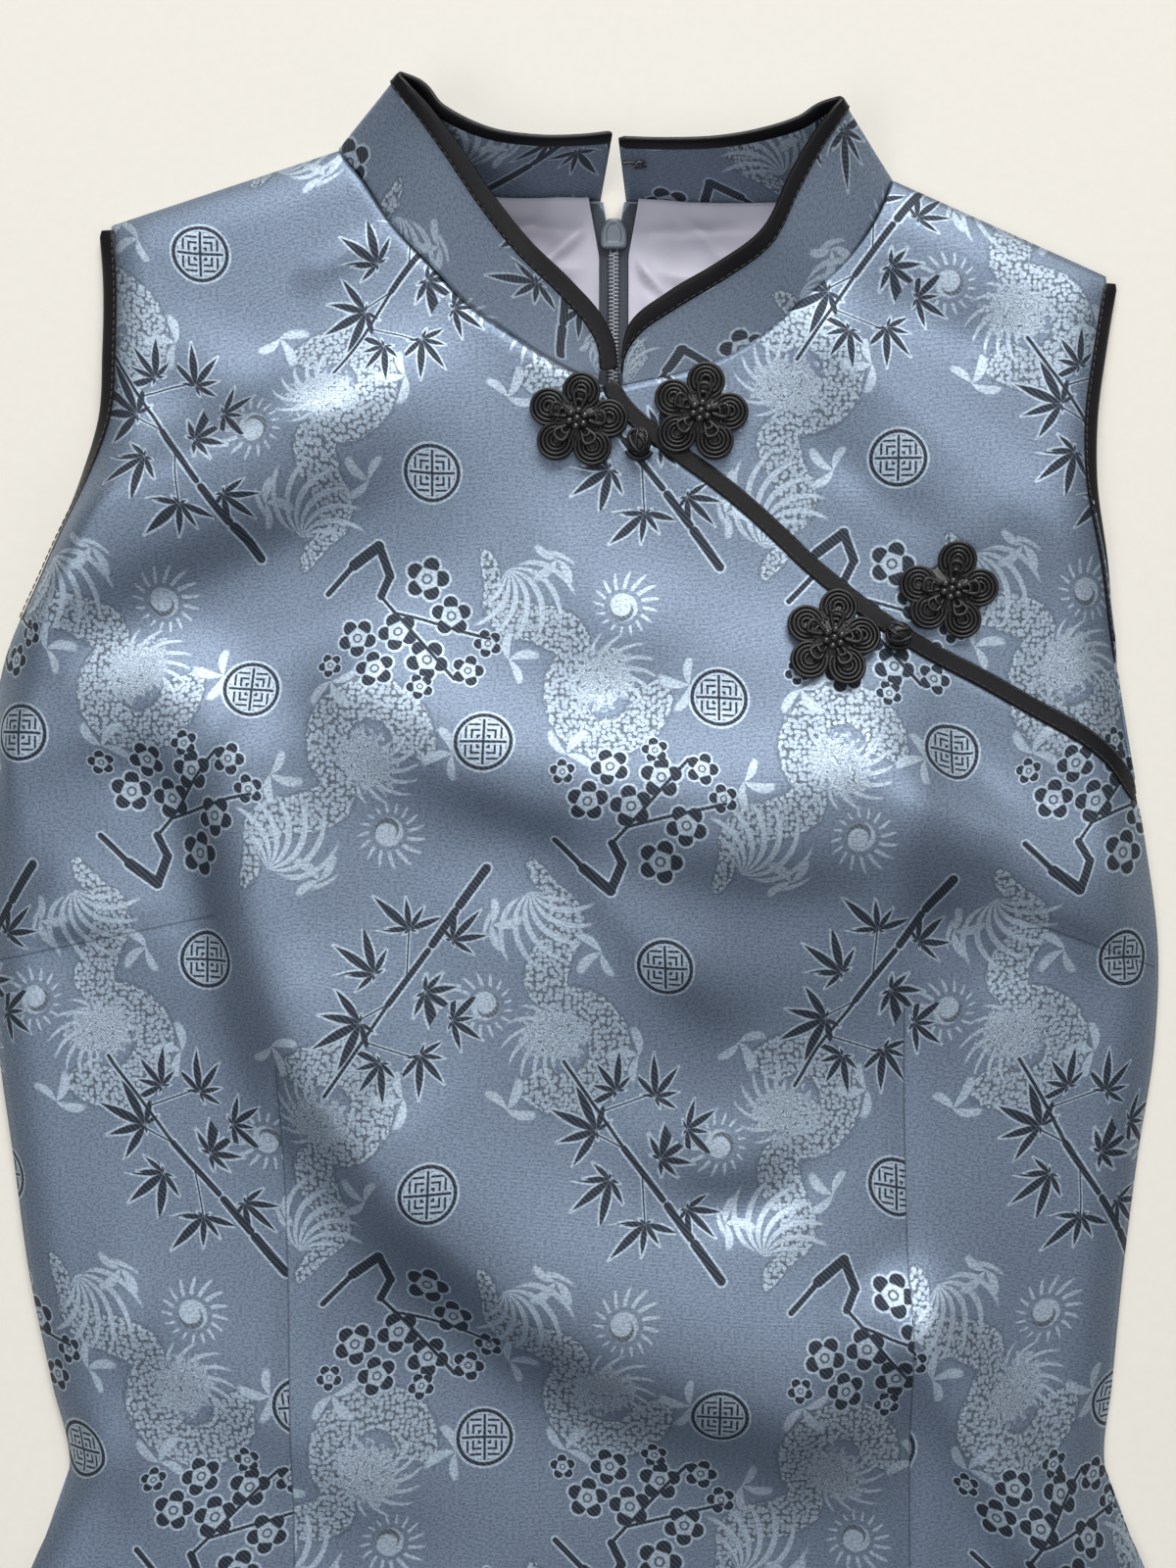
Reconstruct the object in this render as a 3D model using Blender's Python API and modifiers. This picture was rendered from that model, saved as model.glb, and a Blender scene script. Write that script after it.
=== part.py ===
"""Sleeveless brocade cheongsam, laid face up on a flat surface.

Sizes in the tables are millimetres; MM turns them into Blender's metres when a mesh is made.
The origin is the middle of the waist at the level of the surface. +X is to the viewer's right,
+Y runs up the dress to the collar and +Z is up. Left and right are the viewer's.
"""
import math
from collections import namedtuple

import bmesh
import bpy
import numpy as np

MM = 0.001
COLLECTION = "cheongsam_dress"

# ---------------------------------------------------------------- driving sizes, in millimetres
WALL = 1.2                  # brocade with its lining fused behind
SEAM_GAP = 0.3              # between pieces that are sewn together
HEM_Y = -460.0
SLIT_TOP_Y = -265.0         # the side slits run from here to the hem
SLIT_INSET = 2.5            # front edge drawn in along a slit
SEAM_LIFT = 2.65            # top of the front above the surface, along the seams
SEAM_RISE = 18.0            # width over which the front rises from a seam to its full height
REST_LIFT = 6.0             # further height of the front away from its seams
ARMHOLE_GAPE = 3.2          # extra lift of the front at the middle of an armhole
SLIT_GAPE = 2.6
ARMHOLE_STATIONS = 13
ARMHOLE_GAP = 0.5           # between a panel and the armhole's binding, which curve apart a little

BINDING = 6.0               # finished width of the satin binding
BINDING_WALL = 1.4
DIAGONAL_STATIONS = 15
DIAGONAL_END = 3.8          # from the diagonal binding's end down to the side seam's corner
DIAGONAL_TAIL = 0.85        # share of the binding's last stretch that the upper front follows
BINDING_RISE = 0.35         # the diagonal binding lies on the upper front

NECK_CLEARANCE = 1.3        # front neck edge to the collar's inner face, in plan
BACK_NECK_CLEARANCE = 0.9

CENTRE_BACK_BOW = 8.7       # sideways bow of the centre back line at the neck
CENTRE_BACK_TOP_Y = 424.2
ZIP_OPEN_Y = 405.0          # above this the centre back edges part
ZIP_OPEN_HALF = 3.6         # half the parting at the neck seam
ZIP_BOTTOM_Y = -110.0
TAPE_TOP_Y = 423.4
ZIP_TAPE_WIDTH = 11.0
ZIP_TAPE_WALL = 1.0
ZIP_TAPE_INNER = 0.5        # from the centre line to the tape's edge under the coil
COIL_HALF = 1.85
COIL_HEIGHT = 1.5
SLIDER_LENGTH = 10.2
SLIDER_HALF = 4.4
SLIDER_THICKNESS = 2.6
SLIDER_Y = 412.5

LINING_WALL = 1.0
LINING_EDGE = 5.0           # from the centre line to the lining's edge beside the zip
LINING_CLEARANCE = 0.9      # lining's upper edge to the collar
LINING_BOTTOM_Y = 332.0

HOOK_WIRE = 0.45            # radius of the collar hook's wire
HOOK_Y = 423.9              # where the hook's plane meets the surface
HOOK_Z = 16.2
COLLAR_LEAN = 0.363         # backward lean of the back collar for each unit of height

PETALS = 5
PETAL_RADIUS = 6.4
PETAL_RING = 10.5           # flower's centre to a petal's centre
PETAL_HEIGHT = 3.2
FLOWER_HEART = 5.6          # height at the flower's middle
KNOT_HALF_LENGTH = 4.9
KNOT_HALF_WIDTH = 4.2
KNOT_HALF_HEIGHT = 3.3
KNOT_SEAT = BINDING_RISE + 0.35     # knots and loops above the front's outer face
LOOP_CORD = 0.95            # radius of the loop's cord
LOOP_TUCK = 0.45            # how far the loop's cord tucks under the knot's widest part

# ---------------------------------------------------------------- tables, in millimetres
Outline = namedtuple("Outline", "y left right")
OUTLINE = [
    Outline(-460, -207, 207),       # hem
    Outline(-330, -219, 219),
    Outline(-200, -227, 227),       # hip
    Outline(-110, -214, 213),
    Outline(-40, -189, 189),
    Outline(-4, -175.5, 175),       # waist
    Outline(24, -181.5, 177.5),
    Outline(60, -189, 181),
    Outline(100, -194.5, 186),
    Outline(140, -200, 192),
    Outline(172, -202.5, 193),      # bust
    Outline(205, -203, 189),
    Outline(240, -202, 183),
    Outline(270, -197, 178.5),
    Outline(300, -184, 175.8),
    Outline(330, -171, 171.6),
    Outline(350, -165, 172),
    Outline(372, -164, 175.2),
    Outline(397, -164.2, 179.7),
    Outline(415, -165.7, 183.5),
]
UNDERARM_LEFT_Y = 279.0
UNDERARM_RIGHT_Y = 266.0
TIP_LEFT = (-165.7, 415.0)          # shoulder tips and neck points
NECK_LEFT = (-83.6, 442.4)
TIP_RIGHT = (179.7, 397.0)
NECK_RIGHT = (102.4, 431.8)

# Collar stations from centre front round the neck to centre back. The seam row lies on the
# bodice; the edge row is where the cloth meets the binding; z is the collar's inner face.
Collar = namedtuple("Collar", "seam_x seam_y seam_z edge_x edge_y edge_z binding")
COLLAR_LEFT = [
    Collar(3.6, 362.3, 9.0, 3.9, 365.0, 9.8, 5.9),
    Collar(-3.3, 364.9, 9.0, 3.5, 371.4, 11.2, 5.8),
    Collar(-14.8, 371.1, 8.8, -0.3, 379.0, 13.0, 6.0),
    Collar(-26.3, 378.7, 8.6, -9.7, 389.2, 15.0, 6.0),
    Collar(-39.4, 387.9, 8.4, -22.6, 401.1, 17.5, 6.0),
    Collar(-52.5, 401.7, 8.2, -35.4, 416.6, 19.5, 6.0),
    Collar(-65.1, 415.4, 7.4, -46.5, 432.6, 21.5, 6.0),
    Collar(-75.9, 431.3, 5.2, -56.0, 445.5, 23.2, 5.6),
    Collar(-81.4, 438.6, 3.2, -61.6, 452.2, 24.3, 5.0),
    Collar(-83.2, 441.8, 2.2, -63.4, 455.0, 23.8, 4.8),     # fold at the neck point
    Collar(-81.6, 442.4, 1.5, -60.2, 454.4, 23.2, 4.8),
    Collar(-66.6, 432.8, 1.0, -50.0, 445.0, 23.2, 4.8),
    Collar(-50.0, 428.0, 0.6, -35.1, 437.6, 24.2, 4.6),
    Collar(-30.0, 425.6, 0.6, -17.6, 434.6, 24.6, 4.6),
    Collar(-11.7, 425.3, 0.6, -3.2, 434.6, 24.6, 4.6),
    Collar(4.3, 425.0, 0.6, 7.4, 435.4, 24.6, 4.6),
]
CORNER_STATIONS = 6         # the binding turns the front corner over this many stations
COLLAR_RIGHT = [
    Collar(11.6, 360.4, 9.0, 11.6, 364.0, 9.8, 0.7),
    Collar(18.1, 361.9, 9.0, 12.4, 369.2, 11.0, 1.2),
    Collar(29.6, 364.2, 8.8, 17.3, 376.4, 13.2, 4.8),
    Collar(42.7, 368.2, 8.6, 29.2, 384.3, 15.0, 6.0),
    Collar(57.5, 376.4, 8.4, 45.2, 393.4, 17.5, 6.0),
    Collar(72.2, 389.8, 8.2, 60.5, 405.0, 19.5, 6.0),
    Collar(85.5, 401.6, 7.4, 69.0, 421.7, 21.5, 6.0),
    Collar(95.4, 415.8, 5.2, 76.2, 434.7, 23.2, 5.6),
    Collar(100.4, 427.2, 3.2, 82.3, 443.8, 24.3, 5.0),
    Collar(101.9, 431.4, 2.2, 84.0, 446.8, 23.8, 4.8),      # fold at the neck point
    Collar(100.2, 431.9, 1.5, 80.9, 446.4, 23.2, 4.8),
    Collar(86.6, 427.0, 1.0, 71.2, 441.0, 23.2, 4.8),
    Collar(70.0, 424.4, 0.6, 58.8, 436.8, 24.2, 4.6),
    Collar(50.0, 423.7, 0.6, 43.2, 434.0, 24.6, 4.6),
    Collar(30.0, 424.1, 0.6, 25.6, 433.4, 24.6, 4.6),
    Collar(12.9, 424.9, 0.6, 10.3, 433.8, 24.6, 4.6),
]

# Centre line of the diagonal opening's binding, from centre front to the right side seam.
DIAGONAL = [
    (7.0, 360.6), (11.4, 353.6), (18.9, 346.4), (30.1, 337.7), (41.5, 329.6), (52.6, 320.7), (63.7, 310.6),
    (75.1, 299.6), (86.2, 290.4), (102.0, 278.6), (114.3, 271.1), (130.7, 262.6), (150.6, 251.4),
    (166.0, 242.8), (175.6, 235.4), (186.0, 222.3),
]

# Crest lines of the lying cloth's folds, as four-point curves. left and right are how far the
# fold falls away on either side of the direction of travel; fade is the share of the length
# over which each end dies out.
Fold = namedtuple("Fold", "x0 y0 x1 y1 x2 y2 x3 y3 left right height fade_in fade_out")
FOLDS = [
    Fold(-213, 277, -160, 307, -100, 333, -20, 377, 18, 27, 10.0, 0.15, 0.35),      # left armhole
    Fold(-213, 237, -180, 253, -150, 263, -117, 247, 22, 15, 6.5, 0.15, 0.25),      # left bust, outer
    Fold(-133, 273, -113, 213, -107, 147, -77, 103, 30, 18, 8.5, 0.30, 0.30),       # left bust, inner
    Fold(-110, 173, -70, 73, -7, 20, 113, 10, 34, 22, 10.5, 0.30, 0.20),            # across the waist
    Fold(-100, 280, -67, 220, 0, 220, 33, 217, 22, 20, 8.5, 0.20, 0.35),            # under the chest
    Fold(-27, 227, 27, 207, 80, 213, 140, 243, 26, 26, 10.5, 0.35, 0.30),           # right bust
    Fold(87, 213, 120, 227, 147, 200, 193, 180, 14, 24, 4.0, 0.25, 0.25),
    Fold(-193, 193, -167, 190, -147, 180, -133, 147, 16, 14, 4.0, 0.25, 0.25),
    Fold(93, 67, 117, 40, 143, 0, 173, -73, 14, 14, 6.0, 0.25, 0.25),               # right waist
    Fold(67, 393, 87, 367, 120, 333, 173, 293, 12, 18, 4.0, 0.25, 0.25),            # right shoulder
    Fold(-173, 67, -140, 33, -100, 27, -47, -40, 20, 16, 4.0, 0.25, 0.25),          # left waist
    Fold(-60, -20, -40, -120, -95, -260, -80, -430, 26, 20, 6.0, 0.30, 0.20),       # skirt
    Fold(95, -60, 60, -170, 110, -300, 70, -445, 22, 28, 6.5, 0.30, 0.20),
    Fold(-165, -110, -150, -210, -165, -330, -140, -450, 18, 22, 4.5, 0.30, 0.20),
    Fold(175, -130, 160, -230, 175, -330, 165, -440, 20, 16, 4.5, 0.30, 0.25),
    Fold(10, -150, 20, -250, -10, -350, 5, -450, 24, 24, 4.0, 0.35, 0.20),
]

Mound = namedtuple("Mound", "x y radius_x radius_y height")
MOUNDS = [
    Mound(-60, 190, 110, 90, 5.5),      # the two sides of the bust
    Mound(80, 190, 100, 80, 5.5),
    Mound(0, 60, 140, 70, 3.0),
    Mound(5, 372, 60, 40, 2.2),         # over the zip, below the collar
    Mound(0, -200, 150, 130, 3.0),
]

Flower = namedtuple("Flower", "name x y turn seat")     # seat: its underside above the cloth
FLOWERS = [
    Flower("flower_upper_left", -3.6, 347.8, 0.0, 0.95),
    Flower("flower_upper_right", 37.4, 350.4, -9.0, 0.95),
    Flower("flower_lower_left", 81.0, 274.9, 8.0, 0.95),
    Flower("flower_lower_right", 120.5, 291.4, 8.0, 0.75),
]
# A knot lies at the end of its loop; turn is the way its long side points, in degrees.
Knot = namedtuple("Knot", "name x y turn loop_start loop_end")
KNOTS = [
    Knot("upper", 16.9, 340.6, -75.0, -148.0, -32.0),
    Knot("lower", 103.0, 276.6, -10.0, -126.0, -52.0),
]

# Colours in linear light, then roughness and metallic.
Finish = namedtuple("Finish", "red green blue roughness metallic")
FINISHES = {
    "brocade": Finish(0.150, 0.215, 0.310, 0.42, 0.0),
    "black_satin": Finish(0.012, 0.012, 0.015, 0.45, 0.0),
    "lining": Finish(0.390, 0.365, 0.440, 0.50, 0.0),
    "black_cord": Finish(0.008, 0.008, 0.009, 0.55, 0.0),
    "zip_tape": Finish(0.085, 0.095, 0.120, 0.80, 0.0),
    "zip_coil": Finish(0.180, 0.195, 0.230, 0.40, 0.0),
    "zip_slider": Finish(0.250, 0.280, 0.320, 0.38, 0.6),
    "steel": Finish(0.350, 0.350, 0.360, 0.30, 1.0),
}


# ---------------------------------------------------------------- curves and outlines
def smooth_step(value):
    """Ease from 0 to 1."""
    value = np.clip(value, 0.0, 1.0)
    return value * value * (3.0 - 2.0 * value)


def lengths_along(points):
    """Share of a line's length reached at each of its points, from 0 to 1."""
    steps = np.linalg.norm(np.diff(points, axis=0), axis=1)
    reached = np.concatenate([[0.0], np.cumsum(steps)])
    return reached / reached[-1]


def spline_values(knots, values, wanted):
    """Catmull-Rom values at the wanted places, through values given at rising knots."""
    knots = np.asarray(knots, float)
    values = np.asarray(values, float)
    slopes = np.gradient(values, knots, axis=0)
    index = np.clip(np.searchsorted(knots, wanted) - 1, 0, len(knots) - 2)
    span = knots[index + 1] - knots[index]
    share = (wanted - knots[index]) / span
    if values.ndim > 1:
        share = share[:, None]
        span = span[:, None]
    from_start = (1 + 2 * share) * (1 - share) ** 2 * values[index]
    from_end = share ** 2 * (3 - 2 * share) * values[index + 1]
    bend = share * (1 - share) ** 2 * slopes[index] - share ** 2 * (1 - share) * slopes[index + 1]
    return from_start + from_end + bend * span


def resample(points, shares):
    """Points of a smooth line at the given shares of its length."""
    points = np.asarray(points, float)
    return spline_values(lengths_along(points), points, np.asarray(shares, float))


def shares(count, first=0.0, last=0.0):
    """count + 1 shares from 0 to 1, drawn toward the start by first and the end by last."""
    even = np.linspace(0.0, 1.0, count + 1)
    start = even ** (1.0 + first)
    end = 1.0 - (1.0 - even) ** (1.0 + last)
    return start * (1.0 - even) + end * even


OUTLINE_Y = [row.y for row in OUTLINE]
OUTLINE_LEFT = [row.left for row in OUTLINE]
OUTLINE_RIGHT = [row.right for row in OUTLINE]


def side_left(y):
    """Left outline of the dress at height y."""
    return spline_values(OUTLINE_Y, OUTLINE_LEFT, np.clip(y, OUTLINE_Y[0], OUTLINE_Y[-1]))


def side_right(y):
    """Right outline of the dress at height y."""
    return spline_values(OUTLINE_Y, OUTLINE_RIGHT, np.clip(y, OUTLINE_Y[0], OUTLINE_Y[-1]))


def centre_back(y):
    """Sideways place of the centre back line at height y."""
    return CENTRE_BACK_BOW * smooth_step(y / 400.0)


def parting(y):
    """Half the gap between the two centre back edges at height y."""
    opened = np.clip((y - ZIP_OPEN_Y) / (CENTRE_BACK_TOP_Y - ZIP_OPEN_Y), 0.0, 1.0)
    return SEAM_GAP / 2 + opened * (ZIP_OPEN_HALF - SEAM_GAP / 2)


def armhole_binding_width(y, underarm_y):
    """Visible width of an armhole's binding, which turns under toward the underarm."""
    return 0.9 + (BINDING - 1.4) * smooth_step((y - underarm_y) / 90.0) ** 0.6


# ---------------------------------------------------------------- the lying front
def below_line(x, y, start, end):
    """Distance below the line from start to end."""
    along = np.array([end[0] - start[0], end[1] - start[1]])
    along = along / np.linalg.norm(along)
    return (x - start[0]) * along[1] - (y - start[1]) * along[0]


def fold_height(x, y, fold):
    """Height that one fold adds at each x, y."""
    handles = np.array([[fold.x0, fold.y0], [fold.x1, fold.y1], [fold.x2, fold.y2], [fold.x3, fold.y3]], float)
    step = np.linspace(0.0, 1.0, 33)[:, None]
    back = 1.0 - step
    crest = (back ** 3 * handles[0] + 3 * step * back ** 2 * handles[1]
             + 3 * step ** 2 * back * handles[2] + step ** 3 * handles[3])
    nearest = np.full(x.shape, 1e9)
    side = np.zeros(x.shape)
    reached = np.zeros(x.shape)
    for number in range(len(crest) - 1):
        start = crest[number]
        along = crest[number + 1] - start
        share = np.clip(((x - start[0]) * along[0] + (y - start[1]) * along[1]) / (along @ along), 0, 1)
        off_x = x - start[0] - share * along[0]
        off_y = y - start[1] - share * along[1]
        distance = np.hypot(off_x, off_y)
        closer = distance < nearest
        nearest = np.where(closer, distance, nearest)
        side = np.where(closer, along[0] * off_y - along[1] * off_x, side)
        reached = np.where(closer, (number + share) / (len(crest) - 1), reached)
    width = np.where(side > 0, fold.left, fold.right)
    fade = smooth_step(reached / fold.fade_in) * smooth_step((1.0 - reached) / fold.fade_out)
    return fold.height * fade * np.exp(-(nearest / width) ** 2)


def rise(distance):
    """Share of its full height that the front has reached at a distance from a seam."""
    return 1.0 - (1.0 - np.clip(distance / SEAM_RISE, 0.0, 1.0)) ** 2.2


def front_height(x, y):
    """Height of the front's outer face above the surface."""
    x = np.asarray(x, float)
    y = np.asarray(y, float)
    from_left = x - side_left(y)
    from_right = side_right(y) - x
    lift = np.full(x.shape, REST_LIFT)
    for mound in MOUNDS:
        spread = ((x - mound.x) / mound.radius_x) ** 2 + ((y - mound.y) / mound.radius_y) ** 2
        lift = lift + mound.height * np.exp(-spread)
    for fold in FOLDS:
        lift = lift + fold_height(x, y, fold)
    risen = (rise(from_left) * rise(from_right)
             * rise(below_line(x, y, TIP_LEFT, NECK_LEFT)) * rise(below_line(x, y, NECK_RIGHT, TIP_RIGHT)))
    gape = np.zeros(x.shape)
    for distance, low, high in ((from_left, UNDERARM_LEFT_Y, TIP_LEFT[1]), (from_right, UNDERARM_RIGHT_Y, TIP_RIGHT[1])):
        along = np.clip((y - low) / (high - low), 0.0, 1.0)
        gape = gape + ARMHOLE_GAPE * np.sin(math.pi * along) ** 2 * np.exp(-(distance / 20.0) ** 2)
    slit = smooth_step((SLIT_TOP_Y - y) / 90.0)
    gape = gape + SLIT_GAPE * slit * np.exp(-(np.minimum(from_left, from_right) / 20.0) ** 2)
    return SEAM_LIFT + risen * lift + gape


# ---------------------------------------------------------------- meshes
def material(name):
    """The Principled material of a finish, made once."""
    found = bpy.data.materials.get(name)
    if found:
        return found
    finish = FINISHES[name]
    made = bpy.data.materials.new(name)
    made.use_nodes = True
    shader = made.node_tree.nodes["Principled BSDF"]
    shader.inputs["Base Color"].default_value = (finish.red, finish.green, finish.blue, 1.0)
    shader.inputs["Roughness"].default_value = finish.roughness
    shader.inputs["Metallic"].default_value = finish.metallic
    return made


def add_object(name, data, finish):
    """Link new data as an object of the dress."""
    made = bpy.data.objects.new(name, data)
    data.materials.append(material(finish))
    bpy.data.collections[COLLECTION].objects.link(made)
    return made


def add_sheet(name, points, thickness, finish, grow=-1):
    """Cloth from a grid of points (rows, columns, xyz) whose faces point away from the body.

    grow is -1 where the points are the outer face and +1 where they are the inner face.
    """
    rows, columns = points.shape[:2]
    mesh_data = bmesh.new()
    bmesh.ops.create_grid(mesh_data, x_segments=columns - 1, y_segments=rows - 1, size=1.0)
    mesh_data.verts.ensure_lookup_table()
    for vert, place in zip(mesh_data.verts, points.reshape(-1, 3) * MM):
        vert.co = place
    mesh = bpy.data.meshes.new(name)
    mesh_data.to_mesh(mesh)
    mesh_data.free()
    mesh.shade_smooth()
    sheet = add_object(name, mesh, finish)
    solid = sheet.modifiers.new("Wall", "SOLIDIFY")
    solid.thickness = thickness * MM
    solid.offset = grow
    solid.use_quality_normals = True
    return sheet


def on_front(plan, rise_by=0.0):
    """Plan points (…, 2) lifted to the front's outer face."""
    height = front_height(plan[..., 0], plan[..., 1]) + rise_by
    return np.concatenate([plan, height[..., None]], axis=-1)


def patch(bottom, top, left, right, up):
    """Plan grid between four edges that share corners, with its rows at the shares up."""
    across = (lengths_along(bottom) + lengths_along(top))[None, :, None] / 2
    up = up[:, None, None]
    between_rows = (1 - up) * bottom[None] + up * top[None]
    between_columns = (1 - across) * left[:, None] + across * right[:, None]
    corners = ((1 - up) * ((1 - across) * bottom[0] + across * bottom[-1])
               + up * ((1 - across) * top[0] + across * top[-1]))
    return between_rows + between_columns - corners


def offset_line(line, distance):
    """A plan line moved to the left of its direction of travel."""
    along = np.gradient(line, axis=0)
    along = along / np.linalg.norm(along, axis=1, keepdims=True)
    sideways = np.stack([-along[:, 1], along[:, 0]], axis=1)
    return line + sideways * distance


# ---------------------------------------------------------------- collar
def collar_grid(table, seam_share, edge_share, stations):
    """Grid over the collar's inner face: three rows from the seam to the binding's edge."""
    seam = np.array([[row.seam_x, row.seam_y, row.seam_z] for row in table])
    edge = np.array([[row.edge_x, row.edge_y, row.edge_z] for row in table])
    place = lengths_along(seam) + lengths_along(edge)
    place = place / place[-1]
    seam = spline_values(place, seam, stations)
    edge = spline_values(place, edge, stations)
    rows = [seam + (edge - seam) * share for share in np.linspace(seam_share, edge_share, 3)]
    return np.array(rows)


def collar_stations(table, between):
    """Shares along the collar: the table's own stations with points between them."""
    seam = np.array([[row.seam_x, row.seam_y, row.seam_z] for row in table])
    edge = np.array([[row.edge_x, row.edge_y, row.edge_z] for row in table])
    place = lengths_along(seam) + lengths_along(edge)
    place = place / place[-1]
    made = [np.linspace(start, end, between, endpoint=False) for start, end in zip(place, place[1:])]
    return place, np.concatenate(made + [[1.0]])


def add_collar(side, table):
    """One half of the collar and the binding along its top edge and front corner."""
    place, stations = collar_stations(table, 2)
    cloth = collar_grid(table, 0.0, 1.0, stations)
    seam_line, edge_line = cloth[0], cloth[-1]
    along = np.gradient(edge_line, axis=0)
    along = along / np.linalg.norm(along, axis=1, keepdims=True)
    up_collar = edge_line - seam_line
    up_collar = up_collar / np.linalg.norm(up_collar, axis=1, keepdims=True)
    face = np.cross(along[CORNER_STATIONS], up_collar[CORNER_STATIONS])
    round_corner = np.cross(face / np.linalg.norm(face), along)
    straight = smooth_step((np.arange(len(stations)) - CORNER_STATIONS) / 3.0)[:, None]
    outward = round_corner * (1.0 - straight) + up_collar * straight
    outward = outward / np.linalg.norm(outward, axis=1, keepdims=True)
    width = spline_values(place, [row.binding for row in table], stations)[:, None]
    inner = edge_line + outward * SEAM_GAP
    outer = edge_line + outward * (SEAM_GAP + width)
    binding = np.array([inner, (inner + outer) / 2, outer])
    if side == "left":
        cloth = cloth[:, ::-1]
        binding = binding[:, ::-1]
    add_sheet("collar_" + side, cloth, WALL, "brocade", grow=1)
    add_sheet("collar_binding_" + side, binding, BINDING_WALL, "black_satin", grow=1)


# ---------------------------------------------------------------- bodice and skirt
def fold_row(table):
    """Number of the collar station that lies at the neck point."""
    return max(range(len(table)), key=lambda number: abs(table[number].seam_x))


def neck_edge(table, back):
    """The collar's front or back seam in plan, as its table's own stations."""
    at_fold = fold_row(table)
    rows = table[at_fold + 1:] if back else table[:at_fold + 1]
    return np.array([[row.seam_x, row.seam_y] for row in rows])


def diagonal_edge(offset):
    """A line beside the diagonal binding's centre line, from centre front to the side seam."""
    line = offset_line(resample(DIAGONAL, np.linspace(0.0, 1.0, DIAGONAL_STATIONS)), offset)
    return np.stack([np.minimum(line[:, 0], side_right(line[:, 1]) - SEAM_GAP), line[:, 1]], axis=1)


def armhole_rows(side):
    """Heights of the stations that an armhole's binding shares with the panels beside it."""
    underarm, tip = (UNDERARM_LEFT_Y, TIP_LEFT) if side == "left" else (UNDERARM_RIGHT_Y, TIP_RIGHT)
    return np.linspace(underarm + 1.5, tip[1] - 1.0, ARMHOLE_STATIONS)


def armhole_inner(side, ys):
    """Plan line just inside an armhole's binding."""
    underarm = UNDERARM_LEFT_Y if side == "left" else UNDERARM_RIGHT_Y
    covered = armhole_binding_width(ys, underarm) + ARMHOLE_GAP
    x = side_left(ys) + covered if side == "left" else side_right(ys) - covered
    return np.stack([x, ys], axis=1)


def side_seam(side, ys):
    """The front's edge down one side below the armhole, drawn in along the slit."""
    inset = SLIT_INSET * smooth_step((SLIT_TOP_Y - ys) / 40.0)
    x = side_left(ys) + inset if side == "left" else side_right(ys) - inset
    return np.stack([x, ys], axis=1)


def shoulder_corner(side):
    """The panels' corner at a shoulder tip, inside the armhole's binding."""
    tip = TIP_LEFT if side == "left" else TIP_RIGHT
    neck = NECK_LEFT if side == "left" else NECK_RIGHT
    inner = armhole_inner(side, armhole_rows(side)[-1:])[0]
    slope = (neck[1] - tip[1]) / (neck[0] - tip[0])
    return np.array([inner[0], tip[1] + (inner[0] - tip[0]) * slope - 0.5])


def add_main_front():
    """The main front, from the left shoulder and the diagonal opening down to the hem."""
    neck = offset_line(neck_edge(COLLAR_LEFT, back=False), NECK_CLEARANCE)[::-1]
    diagonal = diagonal_edge(-BINDING / 2 - SEAM_GAP)
    shoulder = resample([shoulder_corner("left"), neck[0]], shares(6, 0.5, 0.5))
    below_end = diagonal[-1][1] - DIAGONAL_END
    corner = np.array([side_right(np.array([below_end]))[0], below_end])
    top = np.concatenate([shoulder, neck[1:-1], diagonal, [corner]])
    skirt_y = np.linspace(HEM_Y, OUTLINE[5].y, 13)
    body_y = np.linspace(OUTLINE[5].y, UNDERARM_LEFT_Y, 18)
    left = np.concatenate([side_seam("left", np.concatenate([skirt_y, body_y[1:]])),
                           armhole_inner("left", armhole_rows("left")), [shoulder_corner("left")]])
    up = (left[:, 1] - HEM_Y) / (left[-1][1] - HEM_Y)
    right = side_seam("right", HEM_Y + (top[-1][1] - HEM_Y) * up)
    right[-1] = top[-1]
    bottom = resample([left[0], right[0]], shares(len(top) - 1, 0.35, 0.35))
    add_sheet("front_main", on_front(patch(bottom, top, left, right, up)), WALL, "brocade")


def add_upper_front():
    """The small upper front, between the diagonal opening and the right shoulder."""
    seam = offset_line(neck_edge(COLLAR_RIGHT, back=False), -NECK_CLEARANCE)
    diagonal = diagonal_edge(BINDING / 2 + SEAM_GAP)
    diagonal[-1] = diagonal[-2] + (diagonal[-1] - diagonal[-2]) * DIAGONAL_TAIL
    diagonal[0] = (seam[0][0] + 0.9, seam[0][1] - 0.3)
    seam[0] = diagonal[0]
    above_seam = np.linspace(diagonal[-1][1], UNDERARM_RIGHT_Y - 3.0, 4)
    armhole = np.concatenate([side_seam("right", above_seam), armhole_inner("right", armhole_rows("right")),
                              [shoulder_corner("right")]])
    armhole[0] = diagonal[-1]
    up = lengths_along(armhole)
    seam = resample(seam, up)
    shoulder = resample([seam[-1], shoulder_corner("right")], shares(DIAGONAL_STATIONS - 1, 0.4, 0.6))
    add_sheet("front_upper", on_front(patch(diagonal, shoulder, seam, armhole, up)), WALL, "brocade")


def add_diagonal_binding():
    """The satin binding along the diagonal opening."""
    across = [diagonal_edge(offset) for offset in (-BINDING / 2, 0.0, BINDING / 2)]
    add_sheet("diagonal_binding", on_front(np.array(across), BINDING_RISE), BINDING_WALL, "black_satin")


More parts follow.
